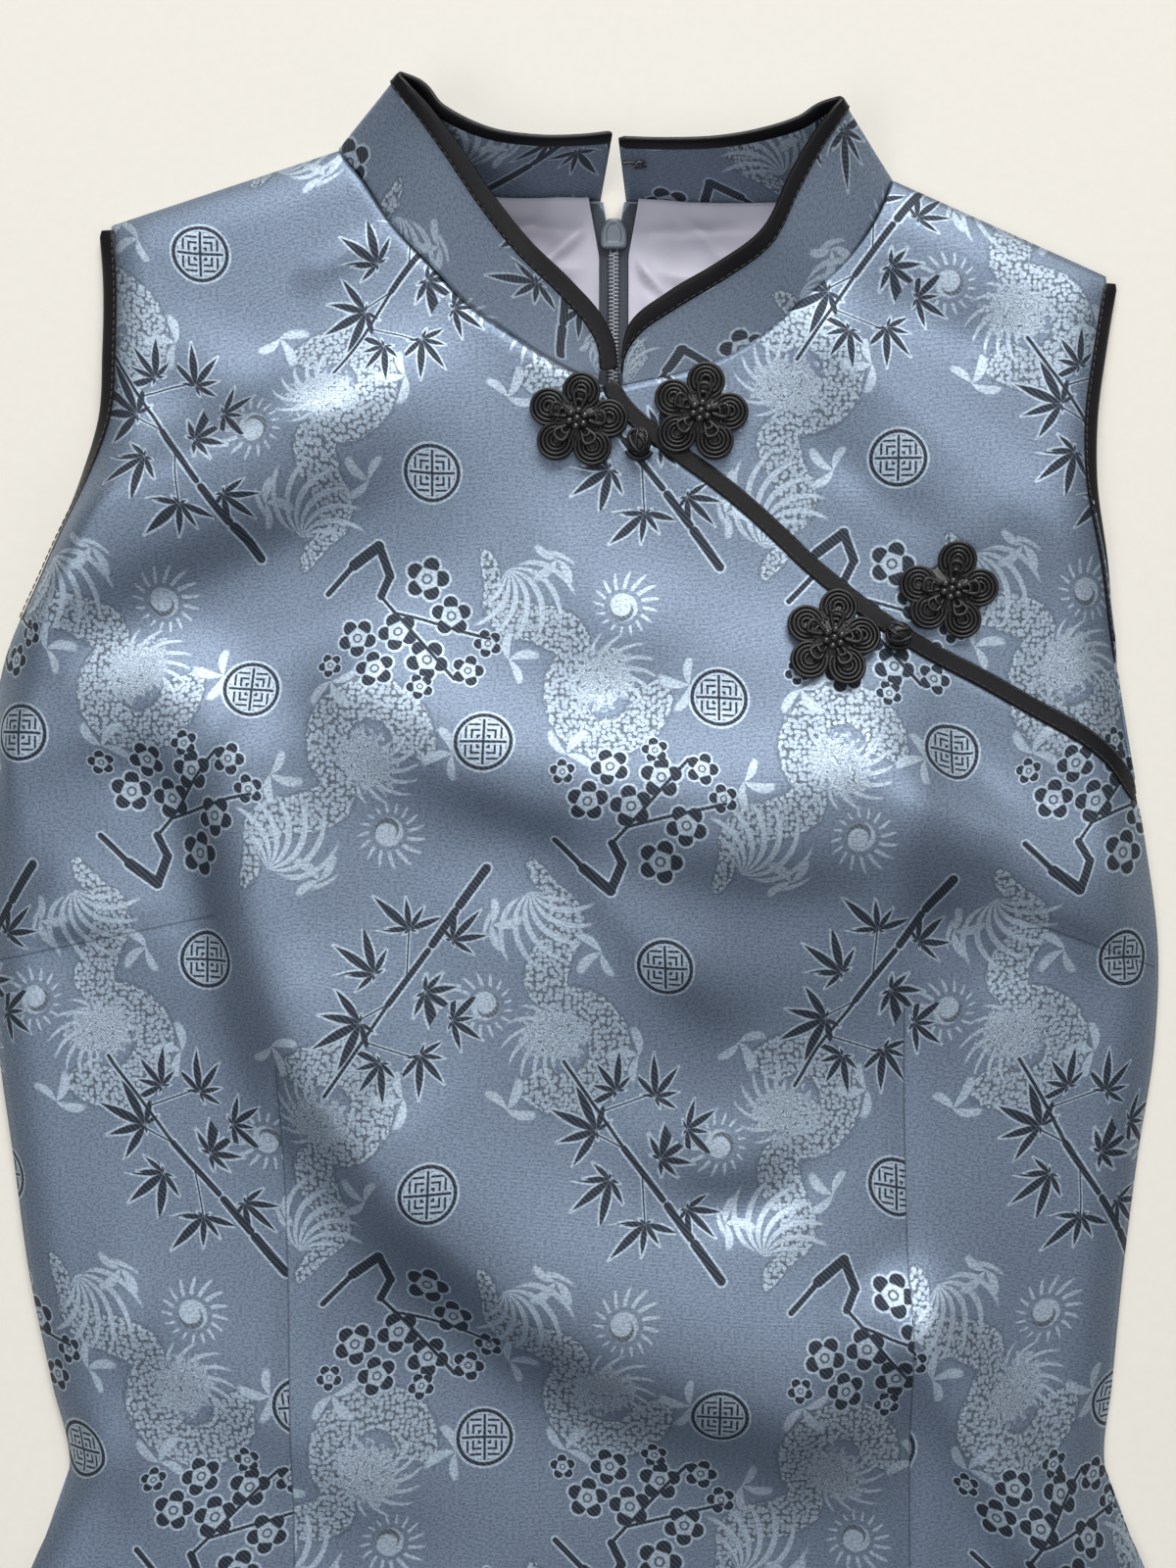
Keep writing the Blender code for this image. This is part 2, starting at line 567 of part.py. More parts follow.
def add_armhole_bindings():
    """Front and back bindings of both armholes."""
    for side in ("left", "right"):
        ys = armhole_rows(side)
        outer = np.stack([side_left(ys) if side == "left" else side_right(ys), ys], axis=1)
        inner = armhole_inner(side, ys)
        inner[:, 0] += -ARMHOLE_GAP if side == "left" else ARMHOLE_GAP
        lines = [outer, (outer + inner) / 2, inner]
        if side == "right":
            lines.reverse()
        plan = np.array(lines).transpose(1, 0, 2)
        add_sheet("armhole_binding_front_" + side, on_front(plan), WALL, "black_satin")
        flat = np.pad(plan[:, ::2], ((0, 0), (0, 0), (0, 1)))
        add_sheet("armhole_binding_back_" + side, flat, WALL, "black_satin", grow=1)


def add_flat_piece(name, outline, bottom, thickness, finish):
    """A flat piece cut along a closed plan outline."""
    curve = bpy.data.curves.new(name, "CURVE")
    curve.dimensions = "2D"
    curve.fill_mode = "BOTH"
    curve.extrude = thickness * MM / 2
    spline = curve.splines.new("POLY")
    spline.points.add(len(outline) - 1)
    for point, place in zip(spline.points, outline):
        point.co = (place[0] * MM, place[1] * MM, 0.0, 1.0)
    spline.use_cyclic_u = True
    piece = add_object(name, curve, finish)
    piece.location.z = (bottom + thickness / 2) * MM
    return piece


def add_backs():
    """The two back panels, flat on the surface, parted along the centre back."""
    centre_y = np.concatenate([np.linspace(HEM_Y, 0.0, 4), np.linspace(60.0, ZIP_OPEN_Y, 8), [CENTRE_BACK_TOP_Y]])
    for side, table in (("left", COLLAR_LEFT), ("right", COLLAR_RIGHT)):
        inward = -1 if side == "left" else 1
        centre = np.stack([centre_back(centre_y) + inward * parting(centre_y), centre_y], axis=1)
        neck = offset_line(neck_edge(table, back=True), inward * BACK_NECK_CLEARANCE)[-2::-1]
        underarm = UNDERARM_LEFT_Y if side == "left" else UNDERARM_RIGHT_Y
        below = np.concatenate([np.linspace(underarm - 1.0, 0.0, 14), [OUTLINE[5].y],
                                np.linspace(-30.0, HEM_Y, 14)])
        outline = np.concatenate([centre, neck, [shoulder_corner(side)],
                                  armhole_inner(side, armhole_rows(side))[::-1], side_seam(side, below)])
        add_flat_piece("back_" + side, outline, 0.0, WALL, "brocade")


# ---------------------------------------------------------------- zip and lining
def beside_zip(y, side, distance):
    """Plan points at a distance to one side of the centre back line, following its parting."""
    inward = -1 if side == "left" else 1
    x = centre_back(y) + inward * (parting(y) - SEAM_GAP / 2 + distance)
    return np.stack(np.broadcast_arrays(x, y), axis=-1)


def add_zip():
    """Tapes, closed coil and slider of the centre back zip, on the back's inner face."""
    tape_y = np.concatenate([[ZIP_BOTTOM_Y], np.linspace(0.0, ZIP_OPEN_Y, 9), [TAPE_TOP_Y]])
    tape_bottom = WALL + SEAM_GAP
    for side in ("left", "right"):
        inner = beside_zip(tape_y, side, ZIP_TAPE_INNER)
        outer = beside_zip(tape_y, side, ZIP_TAPE_INNER + ZIP_TAPE_WIDTH)
        add_flat_piece("zip_tape_" + side, np.concatenate([inner, outer[::-1]]), tape_bottom,
                       ZIP_TAPE_WALL, "zip_tape")

    coil_bottom = tape_bottom + ZIP_TAPE_WALL + SEAM_GAP
    slider_low = SLIDER_Y - SLIDER_LENGTH / 2
    coil_y = np.concatenate([[ZIP_BOTTOM_Y + 3.0], np.linspace(0.0, slider_low - SEAM_GAP, 12)])
    section = ((-1.0, 0.0), (-0.8, 0.7), (-0.35, 1.0), (0.35, 1.0), (0.8, 0.7), (1.0, 0.0))
    coil = np.array([[[centre_back(y) + across * COIL_HALF, y, coil_bottom + up * COIL_HEIGHT]
                      for across, up in section] for y in coil_y])
    add_loft("zip_coil", coil, "zip_coil")

    low, high = -SLIDER_LENGTH / 2, SLIDER_LENGTH / 2
    outline = [(-0.82, low), (0.82, low), (1.0, low + 6.0), (0.45, high), (-0.45, high), (-1.0, low + 6.0)]
    plan = [(centre_back(SLIDER_Y) + across * SLIDER_HALF, SLIDER_Y + up) for across, up in outline]
    slider = add_flat_piece("zip_slider", plan, coil_bottom, SLIDER_THICKNESS, "zip_slider")
    slider.data.bevel_depth = 0.4 * MM
    slider.data.bevel_resolution = 1
    slider.data.extrude -= 0.4 * MM
    slider.data.offset = -0.4 * MM


def add_lining():
    """The lining where it shows inside the neck, over the zip's tapes."""
    over_tape = WALL + SEAM_GAP + ZIP_TAPE_WALL + SEAM_GAP
    beside_tape = WALL + SEAM_GAP
    for side, reach_low, reach_high, table in (("left", 46.0, 60.0, COLLAR_LEFT), ("right", 50.0, 68.0, COLLAR_RIGHT)):
        inward = -1 if side == "left" else 1
        neck = neck_edge(table, back=True)
        neck = neck[np.argsort(neck[:, 0])]
        lines = []
        for share in np.linspace(0.0, 1.0, 9):
            reach_top = LINING_EDGE + (reach_high - LINING_EDGE) * share ** 1.4
            x_top = beside_zip(CENTRE_BACK_TOP_Y, side, reach_top)[0]
            top_y = np.interp(x_top, neck[:, 0], neck[:, 1]) - LINING_CLEARANCE
            ys = np.linspace(LINING_BOTTOM_Y, top_y, 8)
            reach = reach_low + (reach_high - reach_low) * np.linspace(0.0, 1.0, 8)
            distance = LINING_EDGE + (reach - LINING_EDGE) * share ** 1.4
            line = beside_zip(ys, side, distance)
            drop = smooth_step((distance - ZIP_TAPE_WIDTH - 2.0) / 10.0)
            bottom = over_tape + (beside_tape - over_tape) * drop
            lines.append(np.concatenate([line, bottom[:, None]], axis=1))
        if side == "left":
            lines.reverse()
        add_sheet("lining_" + side, np.array(lines).transpose(1, 0, 2), LINING_WALL, "lining", grow=1)


def add_loft(name, sections, finish):
    """A closed body through sections with equal counts of points, capped at both ends."""
    count = sections.shape[1]
    made = bmesh.new()
    rings = [[made.verts.new(point * MM) for point in section] for section in sections]
    for ring, following in zip(rings, rings[1:]):
        for number in range(count):
            beyond = (number + 1) % count
            made.faces.new((ring[number], ring[beyond], following[beyond], following[number]))
    made.faces.new(rings[0][::-1])
    made.faces.new(rings[-1])
    bmesh.ops.recalc_face_normals(made, faces=made.faces)
    mesh = bpy.data.meshes.new(name)
    made.to_mesh(mesh)
    made.free()
    return add_object(name, mesh, finish)


def add_collar_hook():
    """The bent wire hook sewn inside the right end of the back collar."""
    wire = bpy.data.curves.new("collar_hook", "CURVE")
    wire.dimensions = "3D"
    wire.bevel_depth = HOOK_WIRE * MM
    wire.bevel_resolution = 1
    wire.use_fill_caps = True
    spline = wire.splines.new("POLY")
    turns = np.linspace(math.radians(-60.0), math.radians(240.0), 9)
    eye = [(17.0 + 1.5 * math.cos(turn), 2.6 + 1.5 * math.sin(turn)) for turn in turns]
    shank = [(x, height) for x, height in ((15.4, 3.6), (13.8, 3.7), (12.4, 3.7), (11.4, 3.2), (12.2, 2.5))]
    route = eye + shank
    spline.points.add(len(route) - 1)
    for point, (x, height) in zip(spline.points, route):
        above = HOOK_Z + height
        point.co = (x * MM, (HOOK_Y + above * COLLAR_LEAN) * MM, above * MM, 1.0)
    return add_object("collar_hook", wire, "steel")


# ---------------------------------------------------------------- frogs
def add_flower(flower):
    """A flat flower of coiled cord, seated just above the cloth."""
    per_petal = 8
    rings = 4
    turns = np.arange(PETALS * per_petal) * 2 * math.pi / (PETALS * per_petal)
    from_petal = (turns + math.pi / PETALS) % (2 * math.pi / PETALS) - math.pi / PETALS
    outline = (PETAL_RING * np.cos(from_petal)
               + np.sqrt(PETAL_RADIUS ** 2 - (PETAL_RING * np.sin(from_petal)) ** 2))
    angle = turns + math.radians(flower.turn)
    seats = []
    tops = []
    for ring in range(rings, -1, -1):
        radius = outline * ring / rings
        x = flower.x + radius * np.cos(angle)
        y = flower.y + radius * np.sin(angle)
        seat = front_height(x, y) + flower.seat
        to_petal = np.hypot(radius * np.cos(from_petal) - PETAL_RING, radius * np.sin(from_petal))
        dome = np.sqrt(np.clip(1.0 - (to_petal / (PETAL_RADIUS * 1.12)) ** 2, 0.0, 1.0))
        heart = (FLOWER_HEART - PETAL_HEIGHT) * np.exp(-(radius / 5.0) ** 2)
        top = seat + 1.3 + (PETAL_HEIGHT - 1.3) * dome + heart
        seats.append(np.stack([x, y, seat], axis=1))
        tops.append(np.stack([x, y, top], axis=1))
    add_round_body(flower.name, seats, tops, "black_cord")


def add_round_body(name, seats, tops, finish):
    """A closed body from rings of the underside and the top, each ending at a middle point."""
    made = bmesh.new()
    under = [[made.verts.new(point * MM) for point in ring] for ring in seats[:-1]]
    over = [[made.verts.new(point * MM) for point in ring] for ring in tops[:-1]]
    under_middle = made.verts.new(seats[-1][0] * MM)
    over_middle = made.verts.new(tops[-1][0] * MM)
    rings = under[::-1] + over
    count = len(rings[0])
    for ring, following in zip(rings, rings[1:]):
        for number in range(count):
            beyond = (number + 1) % count
            made.faces.new((ring[number], ring[beyond], following[beyond], following[number]))
    for ring, middle in ((rings[0], under_middle), (rings[-1], over_middle)):
        for number in range(count):
            made.faces.new((ring[number], ring[(number + 1) % count], middle))
    bmesh.ops.recalc_face_normals(made, faces=made.faces)
    mesh = bpy.data.meshes.new(name)
    made.to_mesh(mesh)
    made.free()
    mesh.shade_smooth()
    return add_object(name, mesh, finish)


def add_knot(knot):
    """A knot button and the cord loop that lies round its free side."""
    made = bmesh.new()
    bmesh.ops.create_uvsphere(made, u_segments=16, v_segments=9, radius=1.0)
    mesh = bpy.data.meshes.new("knot_" + knot.name)
    made.to_mesh(mesh)
    made.free()
    mesh.shade_smooth()
    turn = math.radians(knot.turn)
    rim = np.linspace(0.0, 2 * math.pi, 13)
    under = front_height(knot.x + 1.8 * np.cos(rim), knot.y + 1.8 * np.sin(rim))
    seat = float(under.max()) + KNOT_SEAT
    ball = add_object("knot_" + knot.name, mesh, "black_cord")
    ball.location = (knot.x * MM, knot.y * MM, (seat + KNOT_HALF_HEIGHT) * MM)
    ball.rotation_euler.z = turn
    ball.scale = (KNOT_HALF_LENGTH * MM, KNOT_HALF_WIDTH * MM, KNOT_HALF_HEIGHT * MM)

    cord = bpy.data.curves.new("loop_" + knot.name, "CURVE")
    cord.dimensions = "3D"
    cord.bevel_depth = LOOP_CORD * MM
    cord.bevel_resolution = 1
    cord.use_fill_caps = True
    spline = cord.splines.new("POLY")
    sweep = np.radians(np.linspace(knot.loop_start, knot.loop_end, 10)) - turn
    spline.points.add(len(sweep) - 1)
    for point, angle in zip(spline.points, sweep):
        along = (KNOT_HALF_LENGTH + LOOP_CORD - LOOP_TUCK) * math.cos(angle)
        across = (KNOT_HALF_WIDTH + LOOP_CORD - LOOP_TUCK) * math.sin(angle)
        x = knot.x + along * math.cos(turn) - across * math.sin(turn)
        y = knot.y + along * math.sin(turn) + across * math.cos(turn)
        height = float(front_height(x, y)) + KNOT_SEAT + LOOP_CORD
        point.co = (x * MM, y * MM, height * MM, 1.0)
    add_object("loop_" + knot.name, cord, "black_cord")


def main():
    """Clear the scene and build the dress."""
    for old in list(bpy.data.objects):
        bpy.data.objects.remove(old, do_unlink=True)
    bpy.context.scene.collection.children.link(bpy.data.collections.new(COLLECTION))
    add_backs()
    add_zip()
    add_lining()
    add_main_front()
    add_upper_front()
    add_diagonal_binding()
    add_armhole_bindings()
    add_collar("left", COLLAR_LEFT)
    add_collar("right", COLLAR_RIGHT)
    add_collar_hook()
    for flower in FLOWERS:
        add_flower(flower)
    for knot in KNOTS:
        add_knot(knot)


main()
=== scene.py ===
"""Finishes a sleeveless brocade cheongsam that lies face up: cloth, trimmings, zip, frogs and light.

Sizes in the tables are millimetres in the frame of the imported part: the origin is the middle of the
waist on the surface the dress lies on, +Y runs up to the collar, +X is to the viewer's right and +Z
is up. MM turns them into Blender's metres. Left and right are the viewer's.
"""

import math
from collections import namedtuple
from functools import reduce

import bmesh
import bpy
import numpy as np
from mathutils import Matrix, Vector


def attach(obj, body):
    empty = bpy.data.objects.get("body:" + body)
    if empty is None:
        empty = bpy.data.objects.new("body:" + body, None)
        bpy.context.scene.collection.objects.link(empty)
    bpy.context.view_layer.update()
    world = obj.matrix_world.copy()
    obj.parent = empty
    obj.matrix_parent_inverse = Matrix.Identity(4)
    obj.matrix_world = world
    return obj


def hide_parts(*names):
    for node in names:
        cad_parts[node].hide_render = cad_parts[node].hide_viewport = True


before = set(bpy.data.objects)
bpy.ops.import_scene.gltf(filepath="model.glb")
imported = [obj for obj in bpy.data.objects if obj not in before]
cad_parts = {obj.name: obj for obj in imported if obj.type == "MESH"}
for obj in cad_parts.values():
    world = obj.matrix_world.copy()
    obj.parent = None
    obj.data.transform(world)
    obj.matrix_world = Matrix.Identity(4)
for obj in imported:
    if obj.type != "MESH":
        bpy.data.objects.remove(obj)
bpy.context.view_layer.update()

bl_info = {
    "name": "Cheongsam dress finish",
    "version": (1, 0, 0),
    "blender": (4, 5, 0),
    "location": "3D View > Sidebar > Dress",
    "description": "Builds the cloth, trimmings and light of a brocade cheongsam over its packed solids",
    "category": "Object",
}

MM = 0.001
BODY = "root"
UP = np.array([0.0, 0.0, 1.0])

# -------------------- sizes, in millimetres
HEM_Y = -460.0
SLIT_TOP_Y = -265.0
SLIT_INSET = 2.5
SEAM_LIFT = 2.65            # top of the front above the surface, along the seams
SEAM_RISE = 18.0            # width over which the front rises from a seam to its full height
RISE_ROUNDNESS = 2.2
REST_LIFT = 6.0
ARMHOLE_GAPE = 3.2          # how far the front stands off the back along an armhole and a slit
SLIT_GAPE = 2.6
GAPE_REACH = 20.0
SLIT_GAPE_EASE = 90.0
SLIT_EASE = 40.0            # length over which the front's edge is drawn in at the top of a slit
DART_DEPTH = 0.7            # a dart's groove
DART_HALF_WIDTH = 3.2
BINDING = 6.0               # finished width of the satin binding
BINDING_TURN = 1.3          # how far the cloth's edge reaches under the binding
UNDERARM_BINDING = 0.9      # visible width of an armhole's binding at the underarm and above it
ARMHOLE_BINDING = 5.5
ARMHOLE_BINDING_EASE = 90.0
BAND_SEAM = 0.06            # half the angle that a folded sleeve's own seam leaves open
BAND_FLATNESS = 0.55        # powers that square off a sleeve's section
BAND_FULLNESS = 0.5
BAND_END = 0.72             # share of a sleeve's section left at its ends
STITCH_RADIUS = 0.24
STITCH_INSET = 0.8          # from a binding's edge to its stitches
COLLAR_BINDING_LIFT = 0.7   # middle of a binding above or below the cloth's face, and its stitches
COLLAR_STITCH_LIFT = 1.55
DIAGONAL_SINK = 0.25
DIAGONAL_STITCH_LIFT = 0.86
ARMHOLE_SINK = 0.5
ARMHOLE_STITCH_LIFT = 0.42
BACK_BINDING_LIFT = 0.64
BACK_BINDING_HALF = 0.62    # half its thickness
# Along one stitch: share of its length, height above its line and share of its radius.
STITCH = ((0.0, -0.12, 0.6), (0.25, 0.08, 1.0), (0.5, 0.12, 1.0), (0.75, 0.08, 1.0), (1.0, -0.12, 0.6))
DART_INTAKE = 20.0          # cloth taken in by a waist dart at the waist; the pattern breaks across it

CENTRE_BACK_BOW = 8.7       # sideways bow of the lying centre back line, full at this height
CENTRE_BACK_BOW_Y = 400.0
CENTRE_BACK_TOP_Y = 424.2
ZIP_OPEN_Y = 405.0          # above this the centre back edges part
ZIP_OPEN_HALF = 3.6
SEAM_GAP = 0.3
SLIDER_Y = 412.5

NECK_TUCK = 1.1             # from the collar's seam to the front's edge under it
EDGE_SINK = 0.9             # how far a sewn edge is drawn down into its seam
SHOULDER_STEP = 1.0         # from the shoulder tip to the end of the armhole's edge
SHOULDER_TUCK = 0.5
UNDERARM_STEP = 1.5         # from the underarm to the start of the armhole's edge
SKIRT_TOP_Y = -20.0         # below this the front's rows lie further apart
SKIRT_SPACING = 6.5
BODY_SPACING = 3.0
UPPER_SPACING = 2.6
SHOULDER_COUNT = 26

UNDERARM_LEFT_Y = 279.0
UNDERARM_RIGHT_Y = 266.0
TIP_LEFT = (-165.7, 415.0)  # shoulder tips and neck points
NECK_LEFT = (-83.6, 442.4)
TIP_RIGHT = (179.7, 397.0)
NECK_RIGHT = (102.4, 431.8)

# -------------------- zip, lining, hook and collar
ZIP_BOTTOM_Y = -110.0
TAPE_TOP_Y = 423.4
ZIP_TAPE_WIDTH = 11.0
ZIP_TAPE_WALL = 1.0
ZIP_TAPE_INNER = 0.5        # from the centre line to the tape's edge under the coil
TAPE_BOTTOM = 1.5
COIL_BOTTOM = 2.8
COIL_PITCH = 1.3
COIL_LOW_Y = 322.0          # below this the coil is hidden and plain
COIL_SEAT = 0.72            # middle of the coil above its underside
COIL_CORE = 0.7
COIL_THREAD = 0.3           # the sewing thread on both sides of the coil
COIL_THREAD_OUT = 1.15
CoilPoint = namedtuple("CoilPoint", "across up radius")
COIL_TURN = [               # one turn of the coil, from its head outward
    CoilPoint(-0.5, 0.10, 0.30),
    CoilPoint(0.1, 0.55, 0.36),
    CoilPoint(0.9, 0.60, 0.33),
    CoilPoint(1.6, 0.30, 0.31),
    CoilPoint(1.75, -0.25, 0.26),
]
SLIDER_LENGTH = 10.2
SLIDER_HALF = 4.4
# The slider's levels: how far its plan is drawn in, and the height above its underside.
SLIDER_LEVELS = ((0.35, 0.0), (0.0, 0.35), (0.0, 2.0), (0.35, 2.42), (0.9, 2.6), (1.7, 2.62), (2.1, 2.3),
                 (2.6, 2.25))
LINING_WALL = 1.0
LINING_EDGE = 5.0           # from the centre line to the lining's edge beside the zip
LINING_BOTTOM_Y = 332.0
LINING_SHELL = 0.6
LINING_COUNT = 60           # rows and columns of the lining
LINING_CROWDING = 1.4       # above 1 the columns crowd toward the zip
LINING_ROLL = 0.35          # height and width of the rolled edge beside the zip
LINING_ROLL_WIDTH = 1.2
LINING_STEP = 10.0          # width over which the lining comes down from the tape
OVER_TAPE = 2.8             # underside of the lining over the zip's tape and beside it
BESIDE_TAPE = 1.5
Crease = namedtuple("Crease", "x0 y0 x1 y1 width height")
CREASES = [
    Crease(14, 411, 60, 413, 3.2, 2.4),
    Crease(8, 411, 34, 384, 1.8, 2.8),
    Crease(14, 402, 74, 388, 2.6, 2.4),
    Crease(16, 394, 60, 360, 2.8, 2.5),
    Crease(14, 380, 38, 342, 2.6, 1.6),
    Crease(30, 420, 52, 398, 2.2, 1.6),
    Crease(2, 412, -48, 418, 2.4, 1.6),
    Crease(4, 418, -26, 394, 1.8, 2.8),
    Crease(0, 400, -54, 404, 2.6, 2.3),
    Crease(-2, 392, -46, 372, 2.8, 2.5),
    Crease(2, 376, -24, 344, 2.6, 1.6),
    Crease(-14, 420, -34, 402, 2.2, 1.5),
]
HOOK_WIRE = 0.45
HOOK_Y = 423.9              # where the hook's plane meets the surface
HOOK_Z = 16.2
HOOK_EYE = (17.0, 2.6)      # sideways place and height over HOOK_Z, as for the shank and the stitches
HOOK_EYE_RADIUS = 1.5
HOOK_SHANK = [(15.4, 3.62), (14.6, 3.72), (13.8, 3.75), (13.0, 3.78), (12.2, 3.7), (11.5, 3.35),
              (11.4, 2.95), (11.8, 2.6), (12.4, 2.5)]
HOOK_STITCHES = ((18.1, 3.6), (18.4, 2.2), (17.2, 1.2), (15.9, 1.6), (14.9, 3.2))
COLLAR_LEAN = 0.363         # backward lean of the back collar for each unit of height
COLLAR_BETWEEN = 8          # rows of the collar's mesh for each of its stations
COLLAR_LOWEST = 0.45        # the collar's inner face above the surface, at least
COLLAR_PATTERN = (-96.0, 300.0)     # place of the pattern at the collar's front corner

# -------------------- frogs
PETAL_RADIUS = 6.4
PETAL_RING = 10.5           # flower's centre to a petal's centre
PETAL_HEIGHT = 3.2
PETAL_RIM = 1.3
PETAL_COILS = 5
PETAL_STEP = 2.2            # between the arcs of a petal, in radii of the cord
INNER_LOOP = 0.55           # size of the inner of a petal's two cord loops beside the outer
LOOP_HALF_WIDTH = 2.5
LOOP_START = 3.1            # from the flower's centre, and the loop's length from there
LOOP_LENGTH = 6.2
LOOP_LIFT = 3.1             # height at the ends, and how much more the loop arches
LOOP_ARCH = 1.1
PAD_INSET = 0.7
# The pad's levels: share of its outline, and height.
PAD_LEVELS = ((0.3, 0.0), (0.97, 0.0), (1.0, 0.3), (0.97, 0.9), (0.9, 1.2), (0.75, 1.8), (0.55, 2.2),
              (0.3, 3.0), (0.1, 3.9))
HEART_LIFT = 4.6            # the beads' middles above the flower's underside
BEADS_ROUND = 6
BEAD_RING = 2.7
BEAD_RADIUS = 1.28
KNOT_HALF_LENGTH = 4.9
KNOT_HALF_WIDTH = 4.2
KNOT_HALF_HEIGHT = 3.3
KNOT_SEAT = 0.7             # knots and loops above the front's outer face
KNOT_BIGHTS = 5             # turns at each end of the woven knot, and times round it
KNOT_LEADS = 3
KNOT_CORD = 0.62            # radius
KNOT_SWING = 1.22           # how far the cord swings to the knot's ends, in radians
KNOT_WEAVE = 0.07           # how far it passes over and under itself, as a share of the knot's size
KNOT_CAP = 0.28             # size of the ring of cord on each end of the knot beside the knot
LOOP_CORD = 0.95
LOOP_TUCK = 0.45

# -------------------- stage
CAMERA_Y = 226.7            # the camera looks straight down on this height
SENSOR_HEIGHT = 36.0
FLOOR_Z = -0.2              # just under the dress
FLOOR_HALF = 2.6            # metres
ROOM_COLOUR = (0.93, 0.95, 1.0, 1.0)
# turned is degrees from +Y toward the viewer's right, raised is degrees above the surface; sizes
# and distance are metres.
Light = namedtuple("Light", "name turned raised distance width height watts red green blue")
LIGHTS = [
    Light("window", 7.0, 35.0, 4.5, 3.0, 2.0, 213.0, 1.0, 0.985, 0.955),
    Light("ceiling", 0.0, 85.0, 2.6, 1.9, 1.3, 14.0, 1.0, 0.99, 0.97),
    Light("left_wall", -125.0, 52.0, 3.0, 1.8, 1.4, 18.0, 0.98, 0.99, 1.0),
    Light("right_wall", 105.0, 44.0, 3.0, 1.8, 1.4, 5.0, 0.98, 0.99, 1.0),
]

# -------------------- tables, in millimetres
Outline = namedtuple("Outline", "y left right")
OUTLINE = [
    Outline(-460, -207, 207),       # hem
    Outline(-330, -219, 219),
    Outline(-200, -227, 227),       # hip
    Outline(-110, -214, 213),
    Outline(-40, -189, 189),
    Outline(-4, -175.5, 175),       # waist
    Outline(24, -181.5, 177.5),
    Outline(60, -189, 181),
    Outline(100, -194.5, 186),
    Outline(140, -200, 192),
    Outline(172, -202.5, 193),      # bust
    Outline(205, -203, 189),
    Outline(240, -202, 183),
    Outline(270, -197, 178.5),
    Outline(300, -184, 175.8),
    Outline(330, -171, 171.6),
    Outline(350, -165, 172),
    Outline(372, -164, 175.2),
    Outline(397, -164.2, 179.7),
    Outline(415, -165.7, 183.5),
]

# Collar stations from centre front round the neck to centre back: where the collar's inner face
# meets the bodice, where its cloth meets the binding, and the binding's width.
Collar = namedtuple("Collar", "seam_x seam_y seam_z edge_x edge_y edge_z binding")
COLLAR_LEFT = [
    Collar(3.6, 362.3, 9.0, 3.9, 365.0, 9.8, 5.9),
    Collar(-3.3, 364.9, 9.0, 3.5, 371.4, 11.2, 5.8),
    Collar(-14.8, 371.1, 8.8, -0.3, 379.0, 13.0, 6.0),
    Collar(-26.3, 378.7, 8.6, -9.7, 389.2, 15.0, 6.0),
    Collar(-39.4, 387.9, 8.4, -22.6, 401.1, 17.5, 6.0),
    Collar(-52.5, 401.7, 8.2, -35.4, 416.6, 19.5, 6.0),
    Collar(-65.1, 415.4, 7.4, -46.5, 432.6, 21.5, 6.0),
    Collar(-75.9, 431.3, 5.2, -56.0, 445.5, 23.2, 5.6),
    Collar(-81.4, 438.6, 3.2, -61.6, 452.2, 24.3, 5.0),
    Collar(-83.2, 441.8, 2.2, -63.4, 455.0, 23.8, 4.8),     # fold at the neck point
    Collar(-81.6, 442.4, 1.5, -60.2, 454.4, 23.2, 4.8),
    Collar(-66.6, 432.8, 1.0, -50.0, 445.0, 23.2, 4.8),
    Collar(-50.0, 428.0, 0.6, -35.1, 437.6, 24.2, 4.6),
    Collar(-30.0, 425.6, 0.6, -17.6, 434.6, 24.6, 4.6),
    Collar(-11.7, 425.3, 0.6, -3.2, 434.6, 24.6, 4.6),
    Collar(4.3, 425.0, 0.6, 7.4, 435.4, 24.6, 4.6),
]
COLLAR_RIGHT = [
    Collar(11.6, 360.4, 9.0, 11.6, 364.0, 9.8, 0.7),
    Collar(18.1, 361.9, 9.0, 12.4, 369.2, 11.0, 1.2),
    Collar(29.6, 364.2, 8.8, 17.3, 376.4, 13.2, 4.8),
    Collar(42.7, 368.2, 8.6, 29.2, 384.3, 15.0, 6.0),
    Collar(57.5, 376.4, 8.4, 45.2, 393.4, 17.5, 6.0),
    Collar(72.2, 389.8, 8.2, 60.5, 405.0, 19.5, 6.0),
    Collar(85.5, 401.6, 7.4, 69.0, 421.7, 21.5, 6.0),
    Collar(95.4, 415.8, 5.2, 76.2, 434.7, 23.2, 5.6),
    Collar(100.4, 427.2, 3.2, 82.3, 443.8, 24.3, 5.0),
    Collar(101.9, 431.4, 2.2, 84.0, 446.8, 23.8, 4.8),      # fold at the neck point
    Collar(100.2, 431.9, 1.5, 80.9, 446.4, 23.2, 4.8),
    Collar(86.6, 427.0, 1.0, 71.2, 441.0, 23.2, 4.8),
    Collar(70.0, 424.4, 0.6, 58.8, 436.8, 24.2, 4.6),
    Collar(50.0, 423.7, 0.6, 43.2, 434.0, 24.6, 4.6),
    Collar(30.0, 424.1, 0.6, 25.6, 433.4, 24.6, 4.6),
    Collar(12.9, 424.9, 0.6, 10.3, 433.8, 24.6, 4.6),
]
CORNER_STATIONS = 6         # the collar's binding turns the front corner over this many half stations

